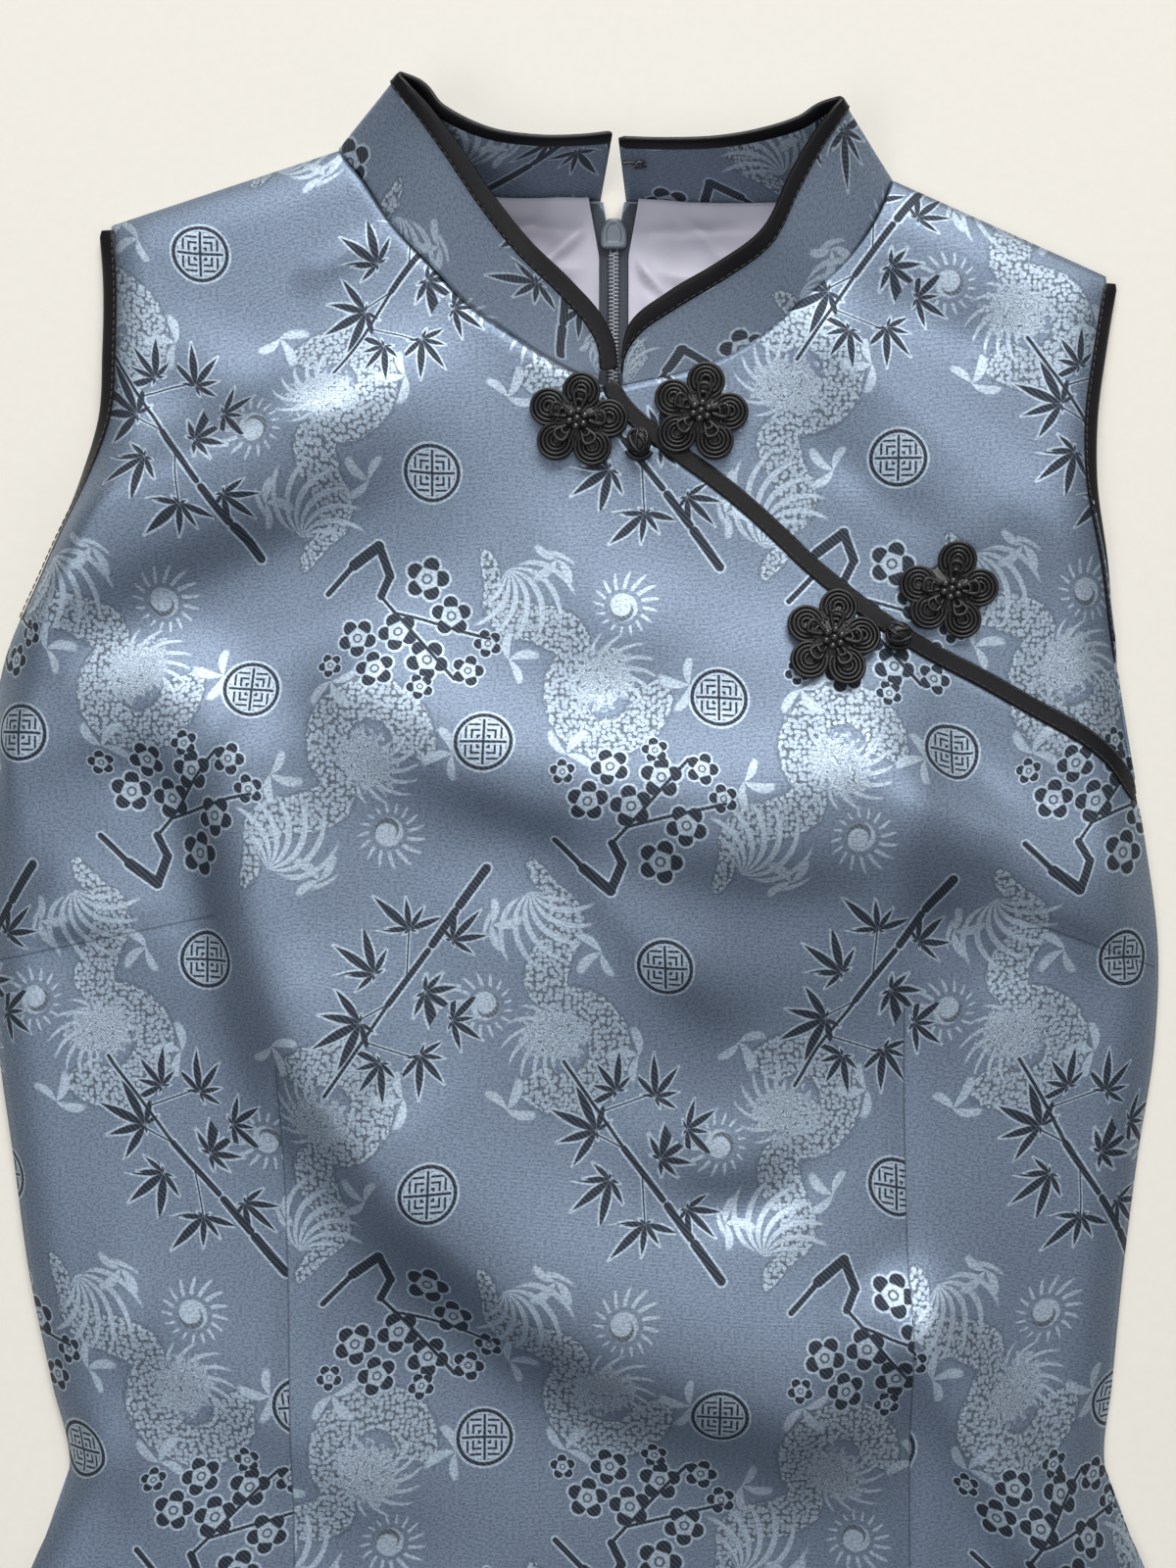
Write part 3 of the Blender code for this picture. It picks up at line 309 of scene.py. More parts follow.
# The two sides. inward is the way from the outline into the dress; lining_low and lining_high are
# how far the lining reaches from the zip at its lower and upper end.
Side = namedtuple("Side", "name inward underarm_y tip neck collar lining_low lining_high")
LEFT = Side("left", 1.0, UNDERARM_LEFT_Y, TIP_LEFT, NECK_LEFT, COLLAR_LEFT, 46.0, 60.0)
RIGHT = Side("right", -1.0, UNDERARM_RIGHT_Y, TIP_RIGHT, NECK_RIGHT, COLLAR_RIGHT, 50.0, 68.0)
SIDES = (LEFT, RIGHT)

# Centre line of the diagonal opening's binding, from centre front to the right side seam.
DIAGONAL = [
    (7.0, 360.6), (11.4, 353.6), (18.9, 346.4), (30.1, 337.7), (41.5, 329.6), (52.6, 320.7), (63.7, 310.6),
    (75.1, 299.6), (86.2, 290.4), (102.0, 278.6), (114.3, 271.1), (130.7, 262.6), (150.6, 251.4),
    (166.0, 242.8), (175.6, 235.4), (186.0, 222.3),
]

# Crest lines of the lying cloth's folds, as four-point curves. left and right are how far the
# fold falls away on either side; fade is the share of its length over which each end dies out.
Fold = namedtuple("Fold", "x0 y0 x1 y1 x2 y2 x3 y3 left right height fade_in fade_out")
FOLDS = [
    Fold(-213, 286, -160, 318, -105, 341, -30, 372, 18, 34, 14.0, 0.15, 0.30),      # left armhole
    Fold(-213, 237, -180, 253, -150, 263, -117, 250, 20, 22, 8.5, 0.15, 0.25),      # left bust, outer
    Fold(-128, 276, -108, 215, -104, 150, -80, 108, 30, 22, 11.5, 0.25, 0.35),      # left bust, inner
    Fold(-105, 180, -66, 84, -5, 30, 118, 12, 38, 25, 13.5, 0.30, 0.15),            # across the waist
    Fold(-95, 280, -64, 226, -5, 226, 33, 221, 30, 20, 10.5, 0.20, 0.35),           # under the chest
    Fold(-27, 230, 27, 211, 80, 217, 132, 240, 30, 46, 11.5, 0.35, 0.25),           # right bust
    Fold(87, 213, 120, 227, 147, 200, 193, 180, 14, 18, 5.5, 0.25, 0.25),
    Fold(-193, 193, -167, 190, -147, 180, -133, 147, 16, 14, 4.0, 0.25, 0.25),
    Fold(93, 67, 117, 40, 143, 0, 173, -73, 16, 17, 8.5, 0.25, 0.25),               # right waist
    Fold(67, 393, 87, 367, 120, 333, 173, 293, 12, 18, 4.0, 0.25, 0.25),            # right shoulder
    Fold(-173, 67, -140, 33, -100, 27, -47, -40, 20, 16, 4.0, 0.25, 0.25),          # left waist
    Fold(-60, -20, -40, -120, -95, -260, -80, -430, 26, 20, 6.0, 0.30, 0.20),       # skirt
    Fold(95, -60, 60, -170, 110, -300, 70, -445, 22, 28, 6.5, 0.30, 0.20),
    Fold(-165, -110, -150, -210, -165, -330, -140, -450, 18, 22, 4.5, 0.30, 0.20),
    Fold(175, -130, 160, -230, 175, -330, 165, -440, 20, 16, 4.5, 0.30, 0.25),
    Fold(10, -150, 20, -250, -10, -350, 5, -450, 24, 24, 4.0, 0.35, 0.20),
    Fold(-100, 393, -90, 400, -77, 407, -63, 413, 3.5, 4.5, 1.6, 0.30, 0.40),       # pleat at the collar
    # Creases between them; those of minus height are hollows.
    Fold(-125, 230, -105, 150, -60, 60, 60, 8, 22, 14, 4.2, 0.30, 0.30),
    Fold(-205, 250, -160, 275, -110, 300, -45, 330, 14, 18, -4.5, 0.20, 0.30),
    Fold(-132, 160, -100, 80, -50, 20, 30, -20, 24, 26, -3.8, 0.30, 0.40),
    Fold(-75, 240, -30, 195, 50, 180, 120, 188, 14, 20, -4.5, 0.30, 0.30),
    Fold(-60, 290, 0, 274, 60, 264, 125, 258, 22, 22, 3.2, 0.30, 0.30),
    Fold(85, 400, 110, 385, 130, 375, 150, 372, 10, 10, -1.8, 0.35, 0.35),
    Fold(72, 350, 88, 332, 105, 318, 128, 305, 8, 8, -2.0, 0.35, 0.35),
    Fold(-10, 215, 5, 190, 25, 168, 58, 142, 14, 10, 4.5, 0.35, 0.35),
    Fold(-175, 232, -140, 240, -124, 205, -128, 150, 10, 12, -3.5, 0.30, 0.35),
    Fold(-190, 165, -170, 172, -150, 170, -132, 160, 9, 9, -2.2, 0.30, 0.30),
    Fold(110, 225, 135, 205, 160, 185, 186, 165, 14, 12, 2.6, 0.30, 0.25),
    Fold(96, 66, 118, 30, 140, -10, 165, -55, 14, 12, 2.6, 0.25, 0.25),
    Fold(20, 95, 45, 80, 62, 82, 84, 108, 10, 8, -2.6, 0.35, 0.35),
    Fold(100, 190, 118, 178, 135, 172, 150, 150, 10, 12, -3.2, 0.35, 0.35),
    Fold(-112, 150, -98, 112, -78, 78, -40, 50, 26, 40, 5.0, 0.30, 0.35),
    Fold(-160, 110, -150, 60, -155, 20, -165, -30, 12, 16, 2.6, 0.30, 0.30),
    Fold(-170, 20, -150, 0, -120, -30, -100, -70, 16, 14, 2.4, 0.30, 0.30),
    Fold(-30, 330, 0, 300, 10, 280, 30, 262, 20, 16, 2.0, 0.35, 0.35),
    Fold(-150, 385, -130, 365, -105, 352, -80, 345, 12, 10, 1.8, 0.35, 0.35),
    Fold(80, 345, 100, 325, 120, 312, 150, 300, 12, 12, 2.0, 0.35, 0.35),
    Fold(0, 122, 25, 108, 45, 95, 75, 103, 15, 12, 2.6, 0.35, 0.35),
]

Mound = namedtuple("Mound", "x y radius_x radius_y height")
MOUNDS = [
    Mound(-60, 190, 110, 90, 5.5),      # the two sides of the bust
    Mound(80, 190, 100, 80, 5.5),
    Mound(0, 60, 140, 70, 3.0),
    Mound(5, 372, 60, 40, 2.2),         # over the zip, below the collar
    Mound(0, -200, 150, 130, 3.0),
    Mound(72, 128, 58, 42, -6.0),       # hollow under the bust
]

# Darts, from the point to the side seam, or from the point down to where they end in the skirt.
Dart = namedtuple("Dart", "name x0 y0 x1 y1")
DARTS = [
    Dart("bust_left", -123.3, 183.3, -200.5, 167.0),
    Dart("bust_right", 140.0, 183.3, 191.0, 165.0),
    Dart("waist_left", -101.7, 133.3, -97.0, -95.0),
    Dart("waist_right", 105.7, 155.0, 108.5, -95.0),
]

# petals are their directions in degrees; seat is the pad's height above the front's outer face.
Flower = namedtuple("Flower", "name x y petals seat")
FLOWERS = [
    Flower("flower_upper_left", -3.6, 347.8, (155, 82, 3, -60, 224), 0.95),
    Flower("flower_upper_right", 37.4, 350.4, (152, 80, 2, -62, 222), 0.95),
    Flower("flower_lower_left", 81.0, 274.9, (150, 78, 6, -64, 222), 0.95),
    Flower("flower_lower_right", 120.5, 291.4, (170, 76, 4, -67, 224), 0.75),
]
# A knot lies at the end of its loop; turn is the way its long side points, in degrees.
Knot = namedtuple("Knot", "name x y turn loop_start loop_end")
KNOTS = [
    Knot("upper", 16.9, 340.6, -75.0, -148.0, -32.0),
    Knot("lower", 103.0, 276.6, -10.0, -126.0, -52.0),
]


# -------------------- curves and the lying front
def smooth_step(value):
    """Ease from 0 to 1."""
    value = np.clip(value, 0.0, 1.0)
    return value * value * (3.0 - 2.0 * value)


def lengths_along(points):
    """Length reached at each point of a line, in millimetres."""
    steps = np.linalg.norm(np.diff(points, axis=0), axis=1)
    return np.concatenate([[0.0], np.cumsum(steps)])


def spline_values(knots, values, wanted):
    """Catmull-Rom values at the wanted places, through values given at rising knots."""
    knots = np.asarray(knots, float)
    values = np.asarray(values, float)
    slopes = np.gradient(values, knots, axis=0)
    index = np.clip(np.searchsorted(knots, wanted) - 1, 0, len(knots) - 2)
    span = knots[index + 1] - knots[index]
    share = (wanted - knots[index]) / span
    if values.ndim > 1:
        share = share[:, None]
        span = span[:, None]
    from_start = (1 + 2 * share) * (1 - share) ** 2 * values[index]
    from_end = share ** 2 * (3 - 2 * share) * values[index + 1]
    bend = share * (1 - share) ** 2 * slopes[index] - share ** 2 * (1 - share) * slopes[index + 1]
    return from_start + from_end + bend * span


def resample(points, count):
    """count evenly spaced points of the smooth line through the given ones."""
    points = np.asarray(points, float)
    reached = lengths_along(points)
    return spline_values(reached, points, np.linspace(0.0, reached[-1], count))


def straight(start, end, count):
    """count points of a straight line."""
    return np.linspace(np.asarray(start, float), np.asarray(end, float), count)


def offset_line(line, distance):
    """A plan line moved to the left of its direction of travel."""
    along = unit(np.gradient(line, axis=0))
    return line + np.stack([-along[:, 1], along[:, 0]], axis=1) * distance


def unit(arrows):
    """Vectors scaled to a length of one."""
    return arrows / np.linalg.norm(arrows, axis=-1, keepdims=True)


def at_height(plan, height):
    """Plan points (…, 2) with a height given to each, or one to all."""
    height = np.broadcast_to(height, plan.shape[:-1])
    return np.concatenate([plan, height[..., None]], axis=-1)


def outline_x(side, y):
    """Sideways place of the dress's outline on one side at height y."""
    heights = [row.y for row in OUTLINE]
    places = [getattr(row, side.name) for row in OUTLINE]
    return spline_values(heights, places, np.clip(y, heights[0], heights[-1]))


def centre_back(y):
    """Sideways place of the centre back line at height y."""
    return CENTRE_BACK_BOW * smooth_step(y / CENTRE_BACK_BOW_Y)


def parting(y):
    """Half the gap between the two centre back edges at height y."""
    opened = np.clip((y - ZIP_OPEN_Y) / (CENTRE_BACK_TOP_Y - ZIP_OPEN_Y), 0.0, 1.0)
    return SEAM_GAP / 2 + opened * (ZIP_OPEN_HALF - SEAM_GAP / 2)


def armhole_binding_width(y, underarm_y):
    """Visible width of an armhole's binding, which turns under toward the underarm."""
    widening = smooth_step((y - underarm_y) / ARMHOLE_BINDING_EASE) ** 0.6
    return UNDERARM_BINDING + (ARMHOLE_BINDING - UNDERARM_BINDING) * widening


def below_line(x, y, start, end):
    """Distance below the line from start to end."""
    along = unit(np.array([end[0] - start[0], end[1] - start[1]]))
    return (x - start[0]) * along[1] - (y - start[1]) * along[0]


def beside_stroke(x, y, start, end):
    """The share of a straight stroke that is nearest to each x, y, and the way from there."""
    along = np.subtract(end, start)
    share = np.clip(((x - start[0]) * along[0] + (y - start[1]) * along[1]) / (along @ along), 0, 1)
    return share, x - start[0] - share * along[0], y - start[1] - share * along[1]


def fold_height(x, y, fold):
    """Height that one fold adds at each x, y, which falls away from the nearest point of its crest."""
    handles = np.array([[fold.x0, fold.y0], [fold.x1, fold.y1],
                        [fold.x2, fold.y2], [fold.x3, fold.y3]], float)
    step = np.linspace(0.0, 1.0, 33)[:, None]
    back = 1.0 - step
    crest = (back ** 3 * handles[0] + 3 * step * back ** 2 * handles[1]
             + 3 * step ** 2 * back * handles[2] + step ** 3 * handles[3])
    closest = np.full(x.shape, np.inf)
    side = np.zeros(x.shape)
    reached = np.zeros(x.shape)
    for number in range(len(crest) - 1):
        along = crest[number + 1] - crest[number]
        share, off_x, off_y = beside_stroke(x, y, crest[number], crest[number + 1])
        distance = np.hypot(off_x, off_y)
        closer = distance < closest
        closest = np.where(closer, distance, closest)
        side = np.where(closer, along[0] * off_y - along[1] * off_x, side)
        reached = np.where(closer, (number + share) / (len(crest) - 1), reached)
    width = np.where(side > 0, fold.left, fold.right)
    fade = smooth_step(reached / fold.fade_in) * smooth_step((1.0 - reached) / fold.fade_out)
    return fold.height * fade * np.exp(-(closest / width) ** 2)


def from_dart(x, y, dart):
    """Distance from a dart's stitching line."""
    _, off_x, off_y = beside_stroke(x, y, (dart.x0, dart.y0), (dart.x1, dart.y1))
    return np.hypot(off_x, off_y)


def rise(distance):
    """Share of its full height that the front has reached at a distance from a seam."""
    return 1.0 - (1.0 - np.clip(distance / SEAM_RISE, 0.0, 1.0)) ** RISE_ROUNDNESS


def front_height(x, y):
    """Height of the front's outer face above the surface."""
    x = np.asarray(x, float)
    y = np.asarray(y, float)
    from_left = x - outline_x(LEFT, y)
    from_right = outline_x(RIGHT, y) - x
    lift = np.full(x.shape, REST_LIFT)
    for mound in MOUNDS:
        spread = ((x - mound.x) / mound.radius_x) ** 2 + ((y - mound.y) / mound.radius_y) ** 2
        lift = lift + mound.height * np.exp(-spread)
    for fold in FOLDS:
        lift = lift + fold_height(x, y, fold)
    for dart in DARTS:
        lift = lift - DART_DEPTH * np.exp(-(from_dart(x, y, dart) / DART_HALF_WIDTH) ** 2)
    risen = (rise(from_left) * rise(from_right)
             * rise(below_line(x, y, TIP_LEFT, NECK_LEFT)) * rise(below_line(x, y, NECK_RIGHT, TIP_RIGHT)))
    gape = np.zeros(x.shape)
    for side, distance in ((LEFT, from_left), (RIGHT, from_right)):
        along = np.clip((y - side.underarm_y) / (side.tip[1] - side.underarm_y), 0.0, 1.0)
        gape = gape + ARMHOLE_GAPE * np.sin(math.pi * along) ** 2 * np.exp(-(distance / GAPE_REACH) ** 2)
    slit = smooth_step((SLIT_TOP_Y - y) / SLIT_GAPE_EASE)
    gape = gape + SLIT_GAPE * slit * np.exp(-(np.minimum(from_left, from_right) / GAPE_REACH) ** 2)
    return SEAM_LIFT + risen * lift + gape


def on_front(plan, rise_by=0.0):
    """Plan points (…, 2) lifted to the front's outer face."""
    return at_height(plan, front_height(plan[..., 0], plan[..., 1]) + rise_by)


def patch(bottom, top, left, right):
    """Plan grid between four edges that share corners."""
    across = (lengths_along(bottom) / lengths_along(bottom)[-1] + lengths_along(top) / lengths_along(top)[-1])
    across = across[None, :, None] / 2
    up = ((left[:, 1] - left[0, 1]) / (left[-1, 1] - left[0, 1]))[:, None, None]
    between_rows = (1 - up) * bottom[None] + up * top[None]
    between_columns = (1 - across) * left[:, None] + across * right[:, None]
    corners = ((1 - up) * ((1 - across) * bottom[0] + across * bottom[-1])
               + up * ((1 - across) * top[0] + across * top[-1]))
    return between_rows + between_columns - corners


# -------------------- meshes
class Stock:
    """Vertices, faces and cloth places gathered for one mesh, in millimetres."""

    def __init__(self):
        self.points = []
        self.quads = []
        self.cloth = []
        self.caps = []
        self.count = 0

    def grid(self, points, cloth=None, around=False, capped=False):
        """Add a grid of points (rows, columns, xyz); around closes its columns into a tube.

        cloth is the grid's places on the flat cloth; without it they are measured along the grid.
        """
        rows, columns = points.shape[:2]
        if cloth is None:
            width = columns + 1 if around else columns
            down = lengths_along(points.mean(axis=1))
            ring = lengths_along(points[rows // 2])
            ring = np.append(ring, ring[-1] * columns / (columns - 1)) if around else ring
            cloth = np.stack(np.broadcast_arrays(down[:, None], ring[None, :width]), axis=-1)
        index = np.arange(rows * columns).reshape(rows, columns) + self.count
        if around:
            index = np.concatenate([index, index[:, :1]], axis=1)
        corners = ((slice(None, -1), slice(None, -1)), (slice(None, -1), slice(1, None)),
                   (slice(1, None), slice(1, None)), (slice(1, None), slice(None, -1)))
        self.quads.append(np.stack([index[corner] for corner in corners], axis=-1).reshape(-1, 4))
        self.cloth.append(np.stack([cloth[corner] for corner in corners], axis=-2).reshape(-1, 2))
        if capped:
            self.caps += [index[0, :columns][::-1].tolist(), index[-1, :columns].tolist()]
        self.points.append(points.reshape(-1, 3))
        self.count += rows * columns

    def tube(self, path, radius, sides=8, closed=False):
        """Add a round cord along a path of points."""
        path = np.asarray(path, float)
        if closed:
            along = np.roll(path, -1, axis=0) - np.roll(path, 1, axis=0)
        else:
            along = np.gradient(path, axis=0)
        along = unit(along)
        start = np.array([0.0, 0.0, 1.0]) if abs(along[0][2]) < 0.9 else np.array([1.0, 0.0, 0.0])
        upward = start - along[0] * (start @ along[0])
        frames = []
        for direction in along:
            upward = unit(upward - direction * (upward @ direction))
            frames.append(upward)
        up = np.array(frames)
        beside = np.cross(along, up)
        radii = np.broadcast_to(np.asarray(radius, float), (len(path),))[:, None, None]
        turn = np.arange(sides) * 2 * math.pi / sides
        ring = up[:, None] * np.cos(turn)[None, :, None] + beside[:, None] * np.sin(turn)[None, :, None]
        points = path[:, None] + ring * radii
        if closed:
            points = np.concatenate([points, points[:1]])
        self.grid(points, around=True, capped=not closed)

    def ball(self, centre, radius, rings=8, sides=12):
        """Add a round bead."""
        turn = np.arange(sides) * 2 * math.pi / sides
        tilt = np.linspace(0.02, math.pi - 0.02, rings + 1)[:, None]
        points = np.stack(np.broadcast_arrays(np.sin(tilt) * np.cos(turn), np.sin(tilt) * np.sin(turn),
                                              np.cos(tilt)), axis=-1)
        self.grid(np.asarray(centre, float) + points * radius, around=True, capped=True)

    def make(self, name, finish, slot_name=None, replaced=(), thickness=0.0, outward=True):
        """Turn the gathered shape into an object that rides on the dress.

        thickness makes a shell of it, to the side of its sign; outward turns all faces outward.
        """
        mesh = bpy.data.meshes.new(name)
        faces = np.concatenate(self.quads).tolist() + self.caps
        mesh.from_pydata((np.concatenate(self.points) * MM).tolist(), [], faces)
        places = mesh.uv_layers.new(name="cloth")
        corner_places = np.zeros((len(mesh.loops), 2), np.float32)
        gathered = np.concatenate(self.cloth) * MM
        corner_places[:len(gathered)] = gathered
        places.data.foreach_set("uv", corner_places.ravel())
        if outward:
            solid = bmesh.new()
            solid.from_mesh(mesh)
            bmesh.ops.recalc_face_normals(solid, faces=solid.faces)
            solid.to_mesh(mesh)
            solid.free()
        mesh.shade_smooth()
        piece = bpy.data.objects.new(name, mesh)
        bpy.context.scene.collection.objects.link(piece)
        piece.data.materials.append(finish)
        if thickness:
            shell = piece.modifiers.new("Cloth", "SOLIDIFY")
            shell.thickness = abs(thickness) * MM
            shell.offset = math.copysign(1.0, thickness)
            shell.use_quality_normals = True
        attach(piece, BODY)
        if replaced:
            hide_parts(*replaced)
        return piece


def cloth_places(grid, origin_row=0, origin_column=0):
    """Where each point of a lying grid was on the flat cloth, measured over its folds."""
    stretch_x = np.diff(grid, axis=1)
    stretch_y = np.diff(grid, axis=0)
    extra_x = np.linalg.norm(stretch_x, axis=2) - np.linalg.norm(stretch_x[..., :2], axis=2)
    extra_y = np.linalg.norm(stretch_y, axis=2) - np.linalg.norm(stretch_y[..., :2], axis=2)
    right = np.pad(np.cumsum(extra_x, axis=1), ((0, 0), (1, 0)))
    up = np.pad(np.cumsum(extra_y, axis=0), ((1, 0), (0, 0)))
    right = right - right[:, origin_column:origin_column + 1]
    up = up - up[origin_row:origin_row + 1]
    return np.stack([grid[..., 0] + right, grid[..., 1] + up], axis=-1)


# -------------------- shader words
VALUE_OUTPUTS = ("LENGTH", "DISTANCE", "DOT_PRODUCT")


class Wire:
    """A shader output that sums and vector sums can be taken of."""

    def __init__(self, socket):
        self.tree = socket.id_data
        self.socket = socket

    def __add__(self, other):
        return sums("ADD", self, other)

    def __sub__(self, other):
        return sums("SUBTRACT", self, other)

    def __rsub__(self, other):
        return sums("SUBTRACT", other, self)

    def __mul__(self, other):
        return sums("MULTIPLY", self, other)

    def __truediv__(self, other):
        return sums("DIVIDE", self, other)

    __radd__ = __add__
    __rmul__ = __mul__


def plug(tree, socket, value):
    """Link a wire to an input, or set the input's own value."""
    if isinstance(value, Wire):
        tree.links.new(value.socket, socket)
    else:
        socket.default_value = value


def tree_of(values):
    """The node tree that the wires among some values belong to."""
    return next(value.tree for value in values if isinstance(value, Wire))


def node_output(tree, kind, inputs=(), output=0, **settings):
    """An output of a new shader node; inputs pair a socket's name or number with its value."""
    node = tree.nodes.new("ShaderNode" + kind)
    for name, value in settings.items():
        setattr(node, name, value)
    for name, value in inputs:
        plug(tree, node.inputs[name], value)
    return Wire(node.outputs[output])


def all_outputs(wire):
    """Every output of the node that a wire comes from."""
    return [Wire(socket) for socket in wire.socket.node.outputs]


def sums(operation, *values, clamp=False):
    """A Math node."""
    return node_output(tree_of(values), "Math", enumerate(values), operation=operation, use_clamp=clamp)


def scaled(value, factor, added, clamp=False):
    """A value times a factor, and something added."""
    return sums("MULTIPLY_ADD", value, factor, added, clamp=clamp)


def vectors(operation, *values):
    """A Vector Math node; the second value of a SCALE is its number."""
    sockets = (0, "Scale") if operation == "SCALE" else range(len(values))
    output = "Value" if operation in VALUE_OUTPUTS else "Vector"
    return node_output(tree_of(values), "VectorMath", zip(sockets, values), output, operation=operation)


def mixed(factor, first, second, kind="RGBA"):
    """A Mix node of two colours, or of two vectors."""
    place, output = {"VECTOR": (4, 1), "RGBA": (6, 2)}[kind]
    inputs = ((0, factor), (place, first), (place + 1, second))
    return node_output(tree_of((factor, first, second)), "Mix", inputs, output, data_type=kind)


def split(vector):
    """The three numbers of a vector."""
    return all_outputs(node_output(vector.tree, "SeparateXYZ", [(0, vector)]))


def joined(tree, x, y, z=0.0):
    """A vector of three numbers."""
    return node_output(tree, "CombineXYZ", enumerate((x, y, z)))


def ink(value, edge, soft=0.3):
    """1 where the value is under the edge, fading to 0 over the soft width."""
    if isinstance(edge, Wire):
        return scaled(edge - value, 1.0 / soft, 0.5, clamp=True)
    return scaled(value, -1.0 / soft, edge / soft + 0.5, clamp=True)


def least(*values):
    """The smallest of several numbers."""
    return reduce(lambda found, value: sums("MINIMUM", found, value), values)


def most(*values):
    """The largest of several numbers."""
    return reduce(lambda found, value: sums("MAXIMUM", found, value), values)


def nearest(choices):
    """The place that goes with the least distance, and that distance."""
    place, distance = choices[0]
    for other, far in choices[1:]:
        place = mixed(sums("LESS_THAN", far, distance), place, other, "VECTOR")
        distance = least(distance, far)
    return place, distance


def from_stroke(place, start, end):
    """Distance from a straight stroke."""
    reach = (end[0] - start[0], end[1] - start[1])
    square = reach[0] ** 2 + reach[1] ** 2
    along = vectors("SUBTRACT", place, (*start, 0.0))
    share = vectors("DOT_PRODUCT", along, (reach[0] / square, reach[1] / square, 0.0))
    share = sums("ADD", share, 0.0, clamp=True)
    return vectors("DISTANCE", along, vectors("SCALE", (*reach, 0.0), share))


def curve_value(value, points):
    """A Float Curve node through points in the unit square."""
    curved = node_output(value.tree, "FloatCurve", [("Value", value)])
    mapping = curved.socket.node.mapping
    line = mapping.curves[0]
    for _ in range(len(points) - 2):
        line.points.new(0.5, 0.5)
    for point, place in zip(line.points, points):
        point.location = place
    mapping.update()
    return curved


def noise(place, scale, detail=2.0, roughness=0.5, dimensions="3D"):
    """A Noise Texture's value."""
    inputs = (("Vector", place), ("Scale", scale), ("Detail", detail), ("Roughness", roughness))
    return node_output(place.tree, "TexNoise", inputs, noise_dimensions=dimensions)


# -------------------- the woven pattern
REPEAT = (156.0, 241.0)     # width and height of the pattern's repeat, in millimetres
MIRROR_Y = 11.3             # the second half of the repeat is the first, turned over this height
# Where the motifs of the first half stand on the cloth.
BAMBOO_PLACE = (-140.0, 340.0)
PLUM_PLACE = (-60.0, 293.0)
MEDALLION_PLACES = ((-52.3, 335.7), (-112.7, 260.0))
DRAGON_PLACE = (-85.0, 365.0)
TURNED_DRAGON_PLACE = (-149.7, 260.7)
DRAGON_TURN = math.radians(129.0)
DRAGON_MIDDLE = (-10.0, -24.0)
DRAGON_CLAIM = (1.25, 0.8)  # distance counts so much, sideways and up, where two dragons meet

Sprig = namedtuple("Sprig", "x y size turn")
BAMBOO_SPRIGS = [               # turn is the way the leaves fan out, clockwise from the right
    Sprig(8.0, 4.5, 22.0, -0.6),
    Sprig(-13.0, 14.0, 18.0, -2.7),
    Sprig(-6.4, 27.0, 15.0, -2.2),
    Sprig(6.5, 25.0, 15.0, -0.9),
    Sprig(-8.5, -2.0, 17.0, 2.5),
    Sprig(3.0, -16.5, 17.0, 1.7),
    Sprig(17.0, 14.5, 14.0, 0.1),
    Sprig(17.0, -12.0, 14.0, 0.8),
]
PETAL_MIDDLE = 0.62         # from a blossom's centre to the middle of a petal, in the blossom's size
Cane = namedtuple("Cane", "start end half_width")
BAMBOO_CANES = [
    Cane((-24.0, 37.0), (-4.0, 8.0), 0.55),
    Cane((-4.0, 8.0), (9.0, -9.0), 1.0),
    Cane((10.5, -11.0), (18.0, -21.5), 1.3),
    Cane((19.4, -23.5), (28.0, -35.5), 1.5),
]
BAMBOO_TWIGS = (((-4.0, 8.0), (-17.0, 15.0)), ((-12.0, 20.0), (8.5, 27.0)), ((2.0, 0.0), (3.0, -19.5)))
BAMBOO_LEAVES = 9           # directions round a sprig; some stay empty
BLOSSOMS = [
    Sprig(-18.2, -13.3, 7.0, 0.2),
    Sprig(-10.8, -24.5, 6.6, 0.7),
    Sprig(-4.0, -11.0, 7.2, 0.5),
    Sprig(5.9, 7.4, 7.8, 0.0),
    Sprig(14.2, -5.2, 7.0, 0.9),
    Sprig(6.0, -20.6, 7.2, 0.3),
    Sprig(19.5, -24.0, 5.6, 0.0),
    Sprig(26.4, -14.6, 5.0, 0.6),
    Sprig(-26.5, -23.5, 4.4, 0.4),
    Sprig(4.0, -30.0, 4.6, 0.5),
]
PLUM_BOUGHS = [
    Cane((-19.4, 10.8), (-10.2, 17.7), 1.7),
    Cane((-10.2, 17.7), (-6.8, 8.5), 1.5),
    Cane((-6.8, 8.5), (-10.2, 1.6), 1.3),
    Cane((-29.0, 1.0), (-19.4, 10.8), 0.9),
    Cane((-10.2, 1.6), (15.0, -27.0), 0.55),
    Cane((-5.6, -4.0), (27.0, -13.0), 0.5),
]
# The dragon's tail and mane, claws and pearl; turn is the way they spread.
TAILS = [Sprig(-12.0, -53.0, 25.0, 1.75), Sprig(-3.0, -4.0, 18.0, 0.2)]
CLAWS = [
    Sprig(24.0, 2.0, 11.0, -0.4),
    Sprig(11.5, -33.0, 10.5, 0.3),
    Sprig(-20.0, 19.0, 11.0, -2.4),
    Sprig(-25.0, -42.0, 10.5, 2.9),
]
PEARL = Sprig(-27.0, -15.0, 13.0, 0.0)
TAIL_RAYS = 17.0            # rays in a full turn; only those that face the spread show
CLAW_RAYS = 4.6
PEARL_RAYS = 16.0
COIL_RADIUS = 14.5
COIL_HALF_WIDTH = 6.8
COIL_MIDDLE_TURN = 0.30     # the coil opens opposite this direction
COIL_HALF_SWEEP = 2.25
